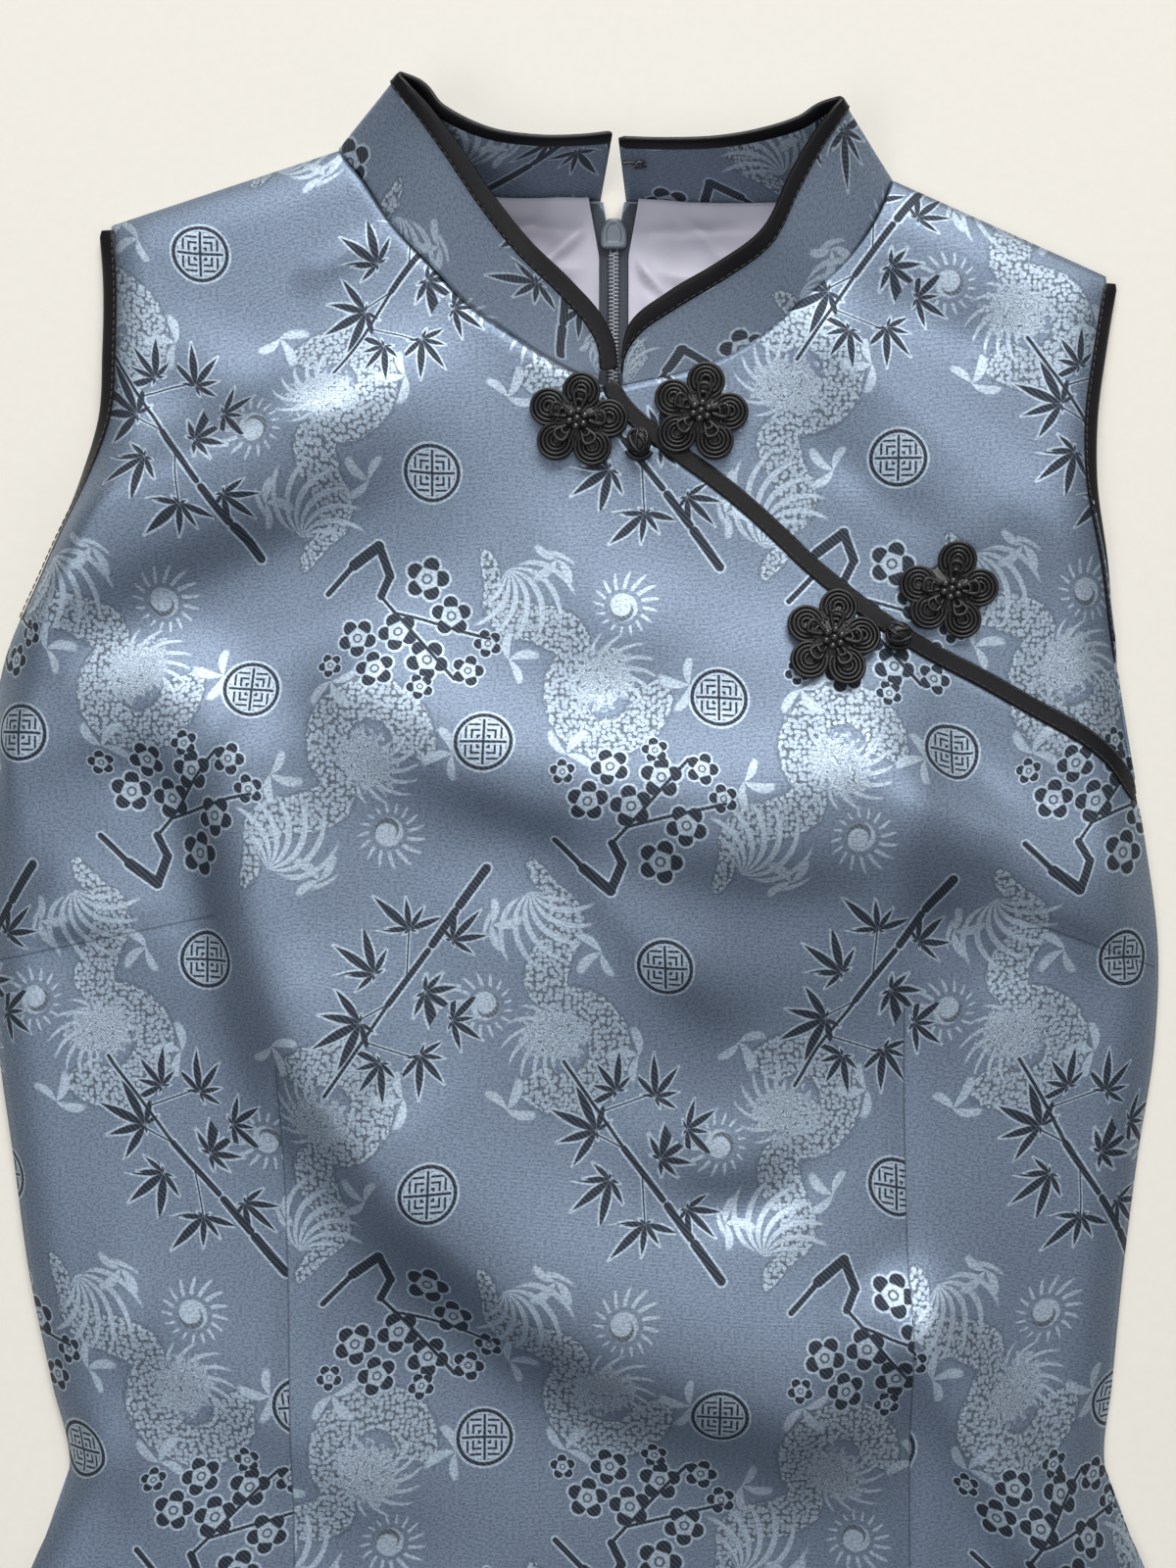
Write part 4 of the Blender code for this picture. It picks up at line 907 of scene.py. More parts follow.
# The dragon's hind body below the coil. At shares of its height from the bottom, HIND_MIDDLE is its
# place between HIND_LEFT and HIND_RIGHT, and HIND_HALF its half width as a share of HIND_WIDTH.
HIND_LOW, HIND_HIGH = -64.0, -12.0
HIND_LEFT, HIND_RIGHT = -20.0, 20.0
HIND_WIDTH = 11.5
HIND_MIDDLE = ((0.0, 0.20), (0.14, 0.30), (0.28, 0.47), (0.45, 0.48), (0.65, 0.36), (0.85, 0.34), (1.0, 0.60))
HIND_HALF = ((0.0, 0.0), (0.06, 0.22), (0.3, 0.45), (0.6, 0.62), (1.0, 0.5))


def sprig_places(place, sprigs):
    """Of several sprigs the one that a point belongs to: its local place, with its turn as height."""
    choices = []
    for sprig in sprigs:
        scale = 1.0 / sprig.size
        shift = (-sprig.x * scale, -sprig.y * scale, sprig.turn)
        local = vectors("MULTIPLY_ADD", place, (scale, scale, 0.0), shift)
        choices.append((local, vectors("DISTANCE", place, (sprig.x, sprig.y, 0.0)) * scale))
    return nearest(choices)


def copies(cloth, turned, centre):
    """A motif's local places in both halves of the repeat."""
    half = (REPEAT[0] / 2, REPEAT[1] / 2, 1.0)
    least_corner = (-REPEAT[0] / 2, -REPEAT[1] / 2, -1.0)
    return [vectors("WRAP", vectors("SUBTRACT", half_cloth, (*centre, 0.0)), half, least_corner)
            for half_cloth in (cloth, turned)]


def nearest_copy(cloth, turned, *centres):
    """Local places in the nearest copy of a motif that stands at one or more centres."""
    choices = [(place, vectors("LENGTH", place))
               for centre in centres for place in copies(cloth, turned, centre)]
    return nearest(choices)[0]


def bamboo(place):
    """Dark leaves and canes, with the light edge round them."""
    local, reach = sprig_places(place, BAMBOO_SPRIGS)
    x, y, turn = split(local)
    direction = sums("ARCTAN2", y, x) + turn
    step = 2 * math.pi / BAMBOO_LEAVES
    off = sums("WRAP", direction, step / 2, -step / 2)
    leaf_number = sums("ROUND", (direction - off) / step + turn * 37.0)
    chance = node_output(place.tree, "TexWhiteNoise", [("W", leaf_number)], "Value", noise_dimensions="1D")
    length = scaled(chance, 0.75, 0.5)
    facing = scaled(sums("COSINE", direction - off), 0.55, 0.55)
    length = sums("MINIMUM", length * facing, 0.98)
    share = sums("MINIMUM", reach / length, 1.0)
    width = sums("SINE", sums("POWER", share, 0.8) * math.pi) * scaled(length, 0.07, 0.025)
    across = sums("ABSOLUTE", reach * off)
    leaf = across - width
    tip = ink(reach, length + 0.03, 0.03)
    dark = ink(leaf, -0.010, 0.02) * tip
    light = ink(leaf, 0.032, 0.02) * tip
    canes = [from_stroke(place, cane.start, cane.end) - cane.half_width for cane in BAMBOO_CANES]
    twigs = least(*[from_stroke(place, *twig) for twig in BAMBOO_TWIGS])
    cane = least(*canes)
    dark = most(dark, ink(cane, 0.0), ink(twigs, 0.25))
    light = most(light, ink(cane, 0.75), ink(twigs, 0.7))
    return light, dark


def plum(place):
    """Five-petalled blossom with dark petal ends, on a bent bough."""
    local, reach = sprig_places(place, BLOSSOMS)
    x, y, turn = split(local)
    direction = sums("ARCTAN2", y, x) + turn
    off = sums("WRAP", direction, math.pi / 5, -math.pi / 5)
    along = reach * sums("COSINE", off)
    square = reach * reach - along * (2 * PETAL_MIDDLE) + PETAL_MIDDLE ** 2
    dark = ink(0.45 - along, 0.0, 0.06) * ink(square, 0.118, 0.02)
    heart = ink(sums("ABSOLUTE", reach - 0.19), 0.05, 0.04)
    light = most(ink(reach, 0.5, 0.06), ink(square, 0.21, 0.03))
    bough = least(*[from_stroke(place, piece.start, piece.end) - piece.half_width for piece in PLUM_BOUGHS])
    dark = most(dark, heart * 0.7, ink(bough, 0.0))
    light = most(light, ink(bough, 0.7))
    return light, dark


MEDALLION_RADIUS = 10.3
MEDALLION_RING = 8.9        # the dark ring
FRET_RADIUS = 7.6
FRET_PITCH = 1.9


def medallion(place):
    """Round medallion with a mirrored key fret."""
    reach = vectors("LENGTH", place)
    x, y, _ = split(vectors("ABSOLUTE", place))
    outer, inner = most(x, y), least(x, y)
    rings = sums("ABSOLUTE", sums("WRAP", outer - FRET_PITCH, FRET_PITCH / 2, -FRET_PITCH / 2))
    fret = ink(rings, 0.36, 0.2) * ink(1.05 - inner, 0.0, 0.2)
    cross = ink(inner, 0.42, 0.2)
    inside = ink(reach, FRET_RADIUS, 0.3)
    dark = most(most(fret, cross) * inside, ink(sums("ABSOLUTE", reach - MEDALLION_RING), 0.6, 0.25))
    light = ink(reach, MEDALLION_RADIUS, 0.3)
    return light, dark


def rays(local, reach, count, half_spread, curve, open_from):
    """Curved flames that taper to points, spreading from a place toward its own direction."""
    x, y, turn = split(local)
    off = sums("WRAP", sums("ARCTAN2", y, x) + turn + math.pi, math.pi, -math.pi)
    sideways = sums("ABSOLUTE", off)
    along = reach * scaled(sideways, 0.16, 0.92)
    wave = sums("COSINE", scaled(reach, curve, off) * count)
    flame = ink(scaled(along, 1.0 + open_from, -open_from), wave, 0.3)
    return flame * ink(sideways, half_spread, 0.15) * ink(along, 0.98, 0.05)


def dragon(place, cloth):
    """Scaled body with fins, and the fans of its pearl, tail and claws: light parts, dark specks and a ring
    of painted shade round the body.
    """
    x, y, _ = split(place)
    reach = vectors("LENGTH", place)
    direction = sums("ARCTAN2", y, x)
    sweep = sums("ABSOLUTE", sums("WRAP", direction - COIL_MIDDLE_TURN, math.pi, -math.pi))
    coil = sums("ABSOLUTE", reach - COIL_RADIUS) - COIL_HALF_WIDTH
    coil = most(coil, (sweep - COIL_HALF_SWEEP) * COIL_RADIUS)
    hind_length = HIND_HIGH - HIND_LOW
    height = scaled(y, 1.0 / hind_length, -HIND_LOW / hind_length, clamp=True)
    middle = curve_value(height, HIND_MIDDLE)
    width = curve_value(height, HIND_HALF)
    sideways = x - scaled(middle, HIND_RIGHT - HIND_LEFT, HIND_LEFT)
    hind = sums("ABSOLUTE", sideways) - width * HIND_WIDTH
    hind = most(hind, y - HIND_HIGH, HIND_LOW - y)
    ragged = noise(cloth, 0.45, 2.0, 0.6, "2D")
    body = scaled(ragged, 2.6, least(coil, hind) - 1.3)
    head = vectors("LENGTH", vectors("MULTIPLY_ADD", place, (0.078, 0.10, 0.0), (0.31, 0.52, 0.0)))
    face = scaled(ragged, 1.3, head - 0.65)

    tail = rays(*sprig_places(place, TAILS), TAIL_RAYS, 1.25, 1.0, 0.75)
    claws = rays(*sprig_places(place, CLAWS), CLAW_RAYS, 2.2, 0.45, 0.55)
    pearl, far = sprig_places(place, [PEARL])
    fringe = rays(pearl, far, PEARL_RAYS, 4.0, 0.3, 0.9) * ink(0.5 - far, 0.0, 0.05)
    pearl_x, pearl_y, _ = split(pearl)
    curl = sums("SINE", sums("ARCTAN2", pearl_y, pearl_x) + far * 14.0)
    ball = ink(far, 0.37, 0.05)
    flame = most(tail, claws, fringe, ball)
    eye = ball * ink(0.2 - far, 0.0, 0.05) * ink(curl, -0.45, 0.5)

    inputs = (("Scale", 0.62), ("Randomness", 0.75), ("Vector", cloth))
    gap = node_output(place.tree, "TexVoronoi", inputs, "Distance", voronoi_dimensions="2D")
    inside = ink(body, 0.0, 0.5)
    rim = inside * ink(-1.3 - body, 0.0, 0.4)
    specks = inside * ink(0.47 - gap, 0.0, 0.16)
    curls = noise(cloth, 0.22, 1.0, 0.5, "2D")
    features = ink(sums("PINGPONG", curls, 0.045), 0.012, 0.012) * ink(face, 0.75, 0.2)
    glow = most(ink(face, 0.85, 0.15), flame)
    light = most(inside * 0.75, rim, glow)
    # Painted shade: a dark ring just outside the body, for the shade that the raised weave makes beside it.
    outline = ink(body, 1.0, 0.5) * (1.0 - inside)
    dark = most(most(specks * 0.75, outline * 0.3) * (1.0 - glow), features * 0.75, eye * 0.8)
    return light, dark


def pattern_tree():
    """The woven pattern as a node group: cloth place in millimetres in, light and dark threads out, the dark
    also holding the painted shade round the dragons.
    """
    found = bpy.data.node_groups.get("woven_pattern")
    if found:
        return found
    tree = bpy.data.node_groups.new("woven_pattern", "ShaderNodeTree")
    tree.interface.new_socket("Cloth", in_out="INPUT", socket_type="NodeSocketVector")
    tree.interface.new_socket("Light", in_out="OUTPUT", socket_type="NodeSocketFloat")
    tree.interface.new_socket("Dark", in_out="OUTPUT", socket_type="NodeSocketFloat")
    cloth = Wire(tree.nodes.new("NodeGroupInput").outputs[0])
    turned = vectors("MULTIPLY_ADD", cloth, (1.0, -1.0, 0.0), (-REPEAT[0] / 2, 2 * MIRROR_Y, 0.0))

    leaf_place = nearest_copy(cloth, turned, BAMBOO_PLACE)
    bloom_place = nearest_copy(cloth, turned, PLUM_PLACE)
    round_place = nearest_copy(cloth, turned, *MEDALLION_PLACES)
    beasts = copies(cloth, turned, DRAGON_PLACE)
    for place in copies(cloth, turned, TURNED_DRAGON_PLACE):
        inputs = (("Angle", DRAGON_TURN), ("Vector", place))
        beasts.append(node_output(tree, "VectorRotate", inputs, rotation_type="Z_AXIS"))
    wide, tall = DRAGON_CLAIM
    shift = (-wide * DRAGON_MIDDLE[0], -tall * DRAGON_MIDDLE[1], 0.0)
    claims = [(place, vectors("LENGTH", vectors("MULTIPLY_ADD", place, (wide, tall, 0.0), shift)))
              for place in beasts]
    beast_place, _ = nearest(claims)

    light, dark = dragon(beast_place, cloth)
    for over_light, over_dark in (plum(bloom_place), bamboo(leaf_place), medallion(round_place)):
        clear = 1.0 - over_light
        light = most(light * clear, over_light * (1.0 - over_dark))
        dark = most(dark * clear, over_dark)
    outputs = tree.nodes.new("NodeGroupOutput")
    plug(tree, outputs.inputs[0], light)
    plug(tree, outputs.inputs[1], dark)
    return tree


# -------------------- finishes
# The two shades that a finish is mixed of, in linear light.
SATIN_SHADES = ((0.004, 0.004, 0.005, 1.0), (0.010, 0.010, 0.013, 1.0))
CORD_SHADES = ((0.004, 0.004, 0.005, 1.0), (0.012, 0.012, 0.014, 1.0))
# The lining's shades are painted lighter than its own colour: painted light for the light that the collar
# keeps off it.
LINING_SHADES = ((0.600, 0.590, 0.710, 1.0), (0.730, 0.720, 0.840, 1.0))
TAPE_SHADES = ((0.040, 0.048, 0.066, 1.0), (0.105, 0.120, 0.150, 1.0))
THREAD_SHADES = ((0.0132, 0.0132, 0.0156, 1.0), (0.022, 0.022, 0.026, 1.0))
FLOOR_SHADES = ((0.800, 0.775, 0.715, 1.0), (0.835, 0.812, 0.752, 1.0))
BEAD_SHADES = ((0.05, 0.05, 0.053, 1.0), (0.11, 0.11, 0.115, 1.0))
COIL_SHADES = ((0.34, 0.37, 0.42, 1.0), (0.50, 0.54, 0.60, 1.0))
SLIDER_SHADES = ((0.17, 0.2, 0.24, 1.0), (0.26, 0.30, 0.35, 1.0))
HOOK_SHADES = ((0.14, 0.14, 0.145, 1.0), (0.30, 0.30, 0.31, 1.0))
WAVE_PHASE = 20.0           # radians that the Wave Texture turns in one unit at scale 1


class Finish:
    """A material being made, with words for its cloth places, colour and relief."""

    def __init__(self, name, **constants):
        self.material = bpy.data.materials.new(name)
        self.material.use_nodes = True
        self.tree = self.material.node_tree
        self.shader = self.tree.nodes["Principled BSDF"]
        for socket, value in constants.items():
            self.shader.inputs[socket.replace("_", " ")].default_value = value

    def cloth(self):
        """Places on the flat cloth, in millimetres."""
        return vectors("SCALE", node_output(self.tree, "UVMap", uv_map="cloth"), 1.0 / MM)

    def solid(self):
        """Places in the object, in millimetres."""
        return vectors("SCALE", node_output(self.tree, "TexCoord", output="Object"), 1.0 / MM)

    def wave(self, place, pitch, axis="X", distortion=0.0):
        """Ridges across one axis, a ridge every pitch."""
        inputs = (("Vector", place), ("Scale", 2 * math.pi / (WAVE_PHASE * pitch)),
                  ("Distortion", distortion), ("Detail", 1.0))
        return node_output(self.tree, "TexWave", inputs, "Fac", bands_direction=axis)

    def set(self, **wires):
        """Link wires to the shader's inputs."""
        for socket, wire in wires.items():
            plug(self.tree, self.shader.inputs[socket.replace("_", " ")], wire)

    def relief(self, height, depth, strength=1.0):
        """Bump of a height whose full range is depth millimetres."""
        inputs = (("Height", height), ("Distance", depth * MM), ("Strength", strength))
        self.set(Normal=node_output(self.tree, "Bump", inputs))

    def done(self, share, shades, roughness, height, depth, strength):
        """The material, with two shades mixed by a share, its roughness and its relief."""
        self.set(Base_Color=mixed(share, *shades), Roughness=roughness)
        self.relief(height, depth, strength)
        return self.material


def beside_darts(finish, cloth):
    """The cloth's places as the waist darts draw them along, and the distance from any dart's seam."""
    x, y, _ = split(finish.solid())
    taken = 0.0
    for dart in DARTS[2:]:
        slope = (dart.x0 - dart.x1) / (dart.y0 - dart.y1)
        line = scaled(y, slope, dart.x0 - dart.y0 * slope)
        beyond = sums("LESS_THAN" if dart.x0 < 0 else "GREATER_THAN", x, line)
        height = sums("ABSOLUTE", y * (1.0 / dart.y0))
        depth = sums("SUBTRACT", 1.0, height, clamp=True) * DART_INTAKE
        taken = taken + beyond * depth * math.copysign(1.0, dart.x0)
    place = vectors("ADD", cloth, joined(finish.tree, taken, 0.0))
    flat = joined(finish.tree, x, y)
    return place, least(*[from_stroke(flat, (dart.x0, dart.y0), (dart.x1, dart.y1)) for dart in DARTS])


def brocade(name, on_solid=False, darted=False, shine=0.8):
    """Silk brocade: satin ground, the woven pattern's light and dark threads, painted shade in dart seams."""
    finish = Finish(name, Metallic=shine, Specular_IOR_Level=0.5)
    colours = bpy.context.scene.dress_colours
    shades = (colours.ground, colours.light, colours.dark)
    ground, light_thread, dark_thread_and_painted_shade = [(*shade, 1.0) for shade in shades]
    cloth = finish.solid() if on_solid else finish.cloth()
    place, crease = beside_darts(finish, cloth) if darted else (cloth, None)
    light, dark = all_outputs(node_output(finish.tree, "Group", [(0, place)], node_tree=pattern_tree()))
    slub = noise(vectors("MULTIPLY", cloth, (0.25, 2.2, 1.0)), 1.0, 2.0, 0.6)
    cloudy = noise(cloth, 0.02, 2.0)
    colour = mixed(scaled(slub, 0.10, 0.0) + cloudy * 0.08, ground, light_thread)
    colour = mixed(light * 0.76, colour, light_thread)
    ribbed = finish.wave(cloth, 0.9, "DIAGONAL")
    # The pattern's dark threads, with the painted shade round the dragons.
    colour = mixed(dark * scaled(ribbed, 0.25, 0.78), colour, dark_thread_and_painted_shade)
    # Painted shade: the cloth darkened along the dart seams, for the shade inside each dart's crease.
    if crease is not None:
        colour = mixed(ink(crease, 0.3, 0.5) * 0.55, colour, dark_thread_and_painted_shade)
    grain = noise(vectors("MULTIPLY", cloth, (1.0, 1.6, 1.0)), 0.9, 1.0, 0.6, "2D")
    colour = mixed(scaled(grain, 4.0, -1.6, clamp=True) * 0.36, colour, dark_thread_and_painted_shade)
    rough = scaled(dark, 0.08, 0.46) - light * 0.06
    finish.set(Base_Color=colour, Roughness=rough)
    weft = finish.wave(cloth, 0.42, "Y", 0.6)
    warp = finish.wave(cloth, 0.3, "X", 0.6)
    finish.relief(weft * 0.6 + warp * 0.4 + slub * 0.8, 0.10, 0.5)
    return finish.material


def satin(name):
    """Black satin cut on the bias."""
    finish = Finish(name, Specular_IOR_Level=0.26)
    cloth = finish.cloth()
    twill = finish.wave(cloth, 0.5, "DIAGONAL", 0.4)
    worn = noise(cloth, 0.12, 3.0)
    fine = noise(vectors("MULTIPLY", cloth, (0.6, 3.0, 1.0)), 1.0, 2.0)
    return finish.done(worn * 0.6 + fine * 0.4, SATIN_SHADES, scaled(fine, 0.14, 0.30),
                       twill * 0.5 + fine, depth=0.10, strength=0.4)


def lining(name):
    """Pale acetate lining with a soft shine, its colour painted lighter to make up for the collar's shade."""
    finish = Finish(name, Sheen_Weight=0.2, Sheen_Roughness=0.3, Specular_IOR_Level=0.5)
    cloth = finish.cloth()
    weave = finish.wave(cloth, 0.35, "X", 0.5) + finish.wave(cloth, 0.35, "Y", 0.5)
    worn = noise(cloth, 0.06, 3.0)
    return finish.done(worn, LINING_SHADES, scaled(worn, 0.12, 0.28), weave * 0.3 + worn * 2.0,
                       depth=0.15, strength=0.5)


def cord(name):
    """Black rayon cord, wound round with a fine thread."""
    finish = Finish(name, Sheen_Weight=0.06, Sheen_Roughness=0.3, Specular_IOR_Level=0.5)
    cloth = finish.cloth()
    wound = finish.wave(cloth, 0.45, "DIAGONAL", 0.5)
    fine = noise(cloth, 2.0, 2.0)
    return finish.done(fine, CORD_SHADES, scaled(fine, 0.12, 0.25), wound + fine * 0.4,
                       depth=0.10, strength=0.5)


def glossy(name, shades, roughness, metallic):
    """Moulded or plated small parts, faintly scuffed."""
    finish = Finish(name, Metallic=metallic, Specular_IOR_Level=0.5)
    scuffed = noise(finish.solid(), 1.5, 3.0, 0.6)
    return finish.done(scuffed, shades, scaled(scuffed, 0.16, roughness - 0.08), scuffed,
                       depth=0.05, strength=0.35)


def tape(name):
    """Woven zip tape with lengthwise ribs."""
    finish = Finish(name, Sheen_Weight=0.2, Sheen_Roughness=0.5, Specular_IOR_Level=0.4)
    cloth = finish.solid()
    ribs = finish.wave(cloth, 0.9, "X", 0.3)
    picks = finish.wave(cloth, 0.45, "Y", 0.6)
    return finish.done(ribs * 0.6 + picks * 0.4, TAPE_SHADES, scaled(picks, 0.1, 0.7), ribs + picks * 0.5,
                       depth=0.18, strength=0.7)


def thread(name):
    """Black sewing thread."""
    finish = Finish(name, Sheen_Weight=0.2, Sheen_Roughness=0.4)
    ply = finish.wave(finish.solid(), 0.3, "DIAGONAL", 0.3)
    return finish.done(ply, THREAD_SHADES, scaled(ply, 0.15, 0.45), ply, depth=0.05, strength=0.6)


def table_top(name):
    """Plain pale surface."""
    finish = Finish(name, Specular_IOR_Level=0.25)
    fine = noise(finish.solid(), 0.25, 3.0)
    return finish.done(fine, FLOOR_SHADES, scaled(fine, 0.1, 0.6), fine, depth=0.05, strength=0.3)


FINISH_MAKERS = {
    "brocade_front": lambda name: brocade(name, darted=True),
    "brocade_cut": brocade,
    "brocade_collar": lambda name: brocade(name, shine=0.22),
    "brocade_back": lambda name: brocade(name, on_solid=True),
    "satin_binding": satin,
    "lining_satin": lining,
    "frog_cord": cord,
    "bead": lambda name: glossy(name, BEAD_SHADES, roughness=0.16, metallic=0.6),
    "tape_weave": tape,
    "coil_plastic": lambda name: glossy(name, COIL_SHADES, roughness=0.30, metallic=0.2),
    "slider_enamel": lambda name: glossy(name, SLIDER_SHADES, roughness=0.38, metallic=0.3),
    "hook_steel": lambda name: glossy(name, HOOK_SHADES, roughness=0.24, metallic=0.9),
    "thread_black": thread,
    "table_top": table_top,
}


def finish_of(name):
    """A finish by name, made when it is first wanted."""
    return bpy.data.materials.get(name) or FINISH_MAKERS[name](name)


# -------------------- edges of the pieces
def neck_line(side, back, between=6):
    """The collar's front or back seam in plan."""
    at_fold = max(range(len(side.collar)), key=lambda number: abs(side.collar[number].seam_x))
    rows = side.collar[at_fold + 1:] if back else side.collar[:at_fold + 1]
    return resample([[row.seam_x, row.seam_y] for row in rows], between * (len(rows) - 1) + 1)


def diagonal_edge(offset, count=90):
    """A line beside the diagonal binding's centre line, from centre front to the side seam."""
    line = offset_line(resample(DIAGONAL, count), offset)
    return np.stack([np.minimum(line[:, 0], outline_x(RIGHT, line[:, 1]) - SEAM_GAP), line[:, 1]], axis=1)


def armhole_line(side, ys, inside):
    """Plan line at a distance inside an armhole's binding's cloth edge."""
    covered = armhole_binding_width(ys, side.underarm_y) + inside
    return np.stack([outline_x(side, ys) + side.inward * covered, ys], axis=1)


def side_seam(side, ys):
    """The front's edge down one side below the armhole, drawn in along the slit."""
    inset = SLIT_INSET * smooth_step((SLIT_TOP_Y - ys) / SLIT_EASE)
    return np.stack([outline_x(side, ys) + side.inward * inset, ys], axis=1)


def shoulder_corner(side):
    """The front's corner at a shoulder tip, under the armhole's binding."""
    inner = armhole_line(side, np.array([side.tip[1] - SHOULDER_STEP]), -BINDING_TURN)[0]
    slope = (side.neck[1] - side.tip[1]) / (side.neck[0] - side.tip[0])
    return np.array([inner[0], side.tip[1] + (inner[0] - side.tip[0]) * slope - SHOULDER_TUCK])


def side_edge(side, low, high, spacing):
    """A side of the front from a height in the skirt up to the shoulder tip, evenly stepped."""
    top = min(high, side.tip[1] - SHOULDER_STEP)
    ys = np.linspace(low, top, int((top - low) / spacing))
    in_armhole = ys[:, None] > side.underarm_y + UNDERARM_STEP
    return np.where(in_armhole, armhole_line(side, ys, -BINDING_TURN), side_seam(side, ys))


def make_cloth(stock, solid, finish, slot_name, shell):
    """A lying cloth piece over its solid; the shell is its thickness, to the side of its sign."""
    piece = stock.make(solid + "_cloth", finish_of(finish), slot_name, [solid], shell, outward=False)


def make_binding(stock, solid):
    """A folded satin binding over its solid."""
    piece = stock.make(solid + "_satin", finish_of("satin_binding"), "black_satin", [solid])


# -------------------- front, collar and bindings
def build_front(settings):
    """The main front and the small upper front, thin and lying over their solids."""
    neck = offset_line(neck_line(LEFT, back=False), NECK_TUCK)[::-1]
    diagonal = diagonal_edge(-BINDING / 2 + BINDING_TURN)
    corner_y = diagonal[-1][1] - 2.0
    left_corner = shoulder_corner(LEFT)
    top = np.concatenate([straight(left_corner, neck[0], SHOULDER_COUNT), neck[1:-1], diagonal,
                          [[outline_x(RIGHT, corner_y), corner_y]]])
    skirt = side_edge(LEFT, HEM_Y, SKIRT_TOP_Y, SKIRT_SPACING)
    body = side_edge(LEFT, SKIRT_TOP_Y, TIP_LEFT[1], BODY_SPACING)
    left = np.concatenate([skirt, body[1:], [left_corner]])
    up = (left[:, 1] - HEM_Y) / (left[-1][1] - HEM_Y)
    right = side_seam(RIGHT, HEM_Y + (top[-1][1] - HEM_Y) * up)
    right[-1] = top[-1]
    bottom = straight(left[0], right[0], len(top))
    grid = on_front(patch(bottom, top, left, right))
    grid[-1, :, 2] -= EDGE_SINK
    grid[-2, :, 2] -= EDGE_SINK / 4
    front = Stock()
    front.grid(grid, cloth_places(grid, len(left) // 2, len(top) // 2))
    make_cloth(front, "front_main", "brocade_front", "brocade", -settings.wall / MM)

    seam = offset_line(neck_line(RIGHT, back=False), -NECK_TUCK)
    diagonal = diagonal_edge(BINDING / 2 - BINDING_TURN)
    diagonal[0] = seam[0]
    right_corner = shoulder_corner(RIGHT)
    armhole = side_edge(RIGHT, diagonal[-1][1], TIP_RIGHT[1], UPPER_SPACING)
    armhole = np.concatenate([[diagonal[-1]], armhole[1:], [right_corner]])
    seam = resample(seam, len(armhole))
    shoulder = straight(seam[-1], right_corner, len(diagonal))
    grid = on_front(patch(diagonal, shoulder, seam, armhole))
    grid[:, 0, 2] -= EDGE_SINK
    upper = Stock()
    upper.grid(grid, cloth_places(grid))
    make_cloth(upper, "front_upper", "brocade_cut", "brocade", -settings.wall / MM)


def band(stock, inner, outer, face, thickness, lift, closed=False, sides=19):
    """A flattened sleeve between two edge lines; unless closed, its own seam lies along the inner one."""
    turn = np.linspace(math.pi + BAND_SEAM, 3 * math.pi - BAND_SEAM, sides)
    if closed:
        turn = np.arange(sides) * 2 * math.pi / sides
    flat = np.sign(np.cos(turn)) * np.abs(np.cos(turn)) ** BAND_FLATNESS
    thick = np.sign(np.sin(turn)) * np.abs(np.sin(turn)) ** BAND_FULLNESS
    centre = (inner + outer) / 2
    half = (outer - inner) / 2
    thickness = np.broadcast_to(thickness, (len(centre),))[:, None, None]
    points = (centre[:, None] + half[:, None] * flat[None, :, None]
              + face[:, None] * (lift + thickness * thick[None, :, None]))
    for end in (0, -1):
        middle = centre[end] + face[end] * lift
        points[end] = middle + (points[end] - middle) * BAND_END
    stock.grid(points, around=closed, capped=closed)


def sew(stock, line, face, settings):
    """Short stitches along a line, each sinking into the cloth at its ends."""
    reached = lengths_along(line)
    pitch = (settings.stitch_length + settings.stitch_gap) / MM
    share, lift, fullness = np.array(STITCH).T
    for start in np.arange(pitch, reached[-1] - pitch, pitch):
        places = start + share * settings.stitch_length / MM
        path = np.stack([np.interp(places, reached, line[:, axis]) for axis in range(3)], axis=1)
        up = np.stack([np.interp(places, reached, face[:, axis]) for axis in range(3)], axis=1)
        stock.tube(path + up * lift[:, None], fullness * STITCH_RADIUS, sides=5)


def collar_lines(table, between):
    """Seam and edge lines of a collar half, and the binding's width along them."""
    seam = np.array([[row.seam_x, row.seam_y, row.seam_z] for row in table])
    edge = np.array([[row.edge_x, row.edge_y, row.edge_z] for row in table])
    reached = [lengths_along(line) for line in (seam, edge)]
    place = (reached[0] / reached[0][-1] + reached[1] / reached[1][-1]) / 2
    wanted = np.concatenate([np.linspace(start, end, between, endpoint=False)
                             for start, end in zip(place, place[1:])] + [[1.0]])
    width = spline_values(place, np.array([row.binding for row in table]), wanted)
    return spline_values(place, seam, wanted), spline_values(place, edge, wanted), width


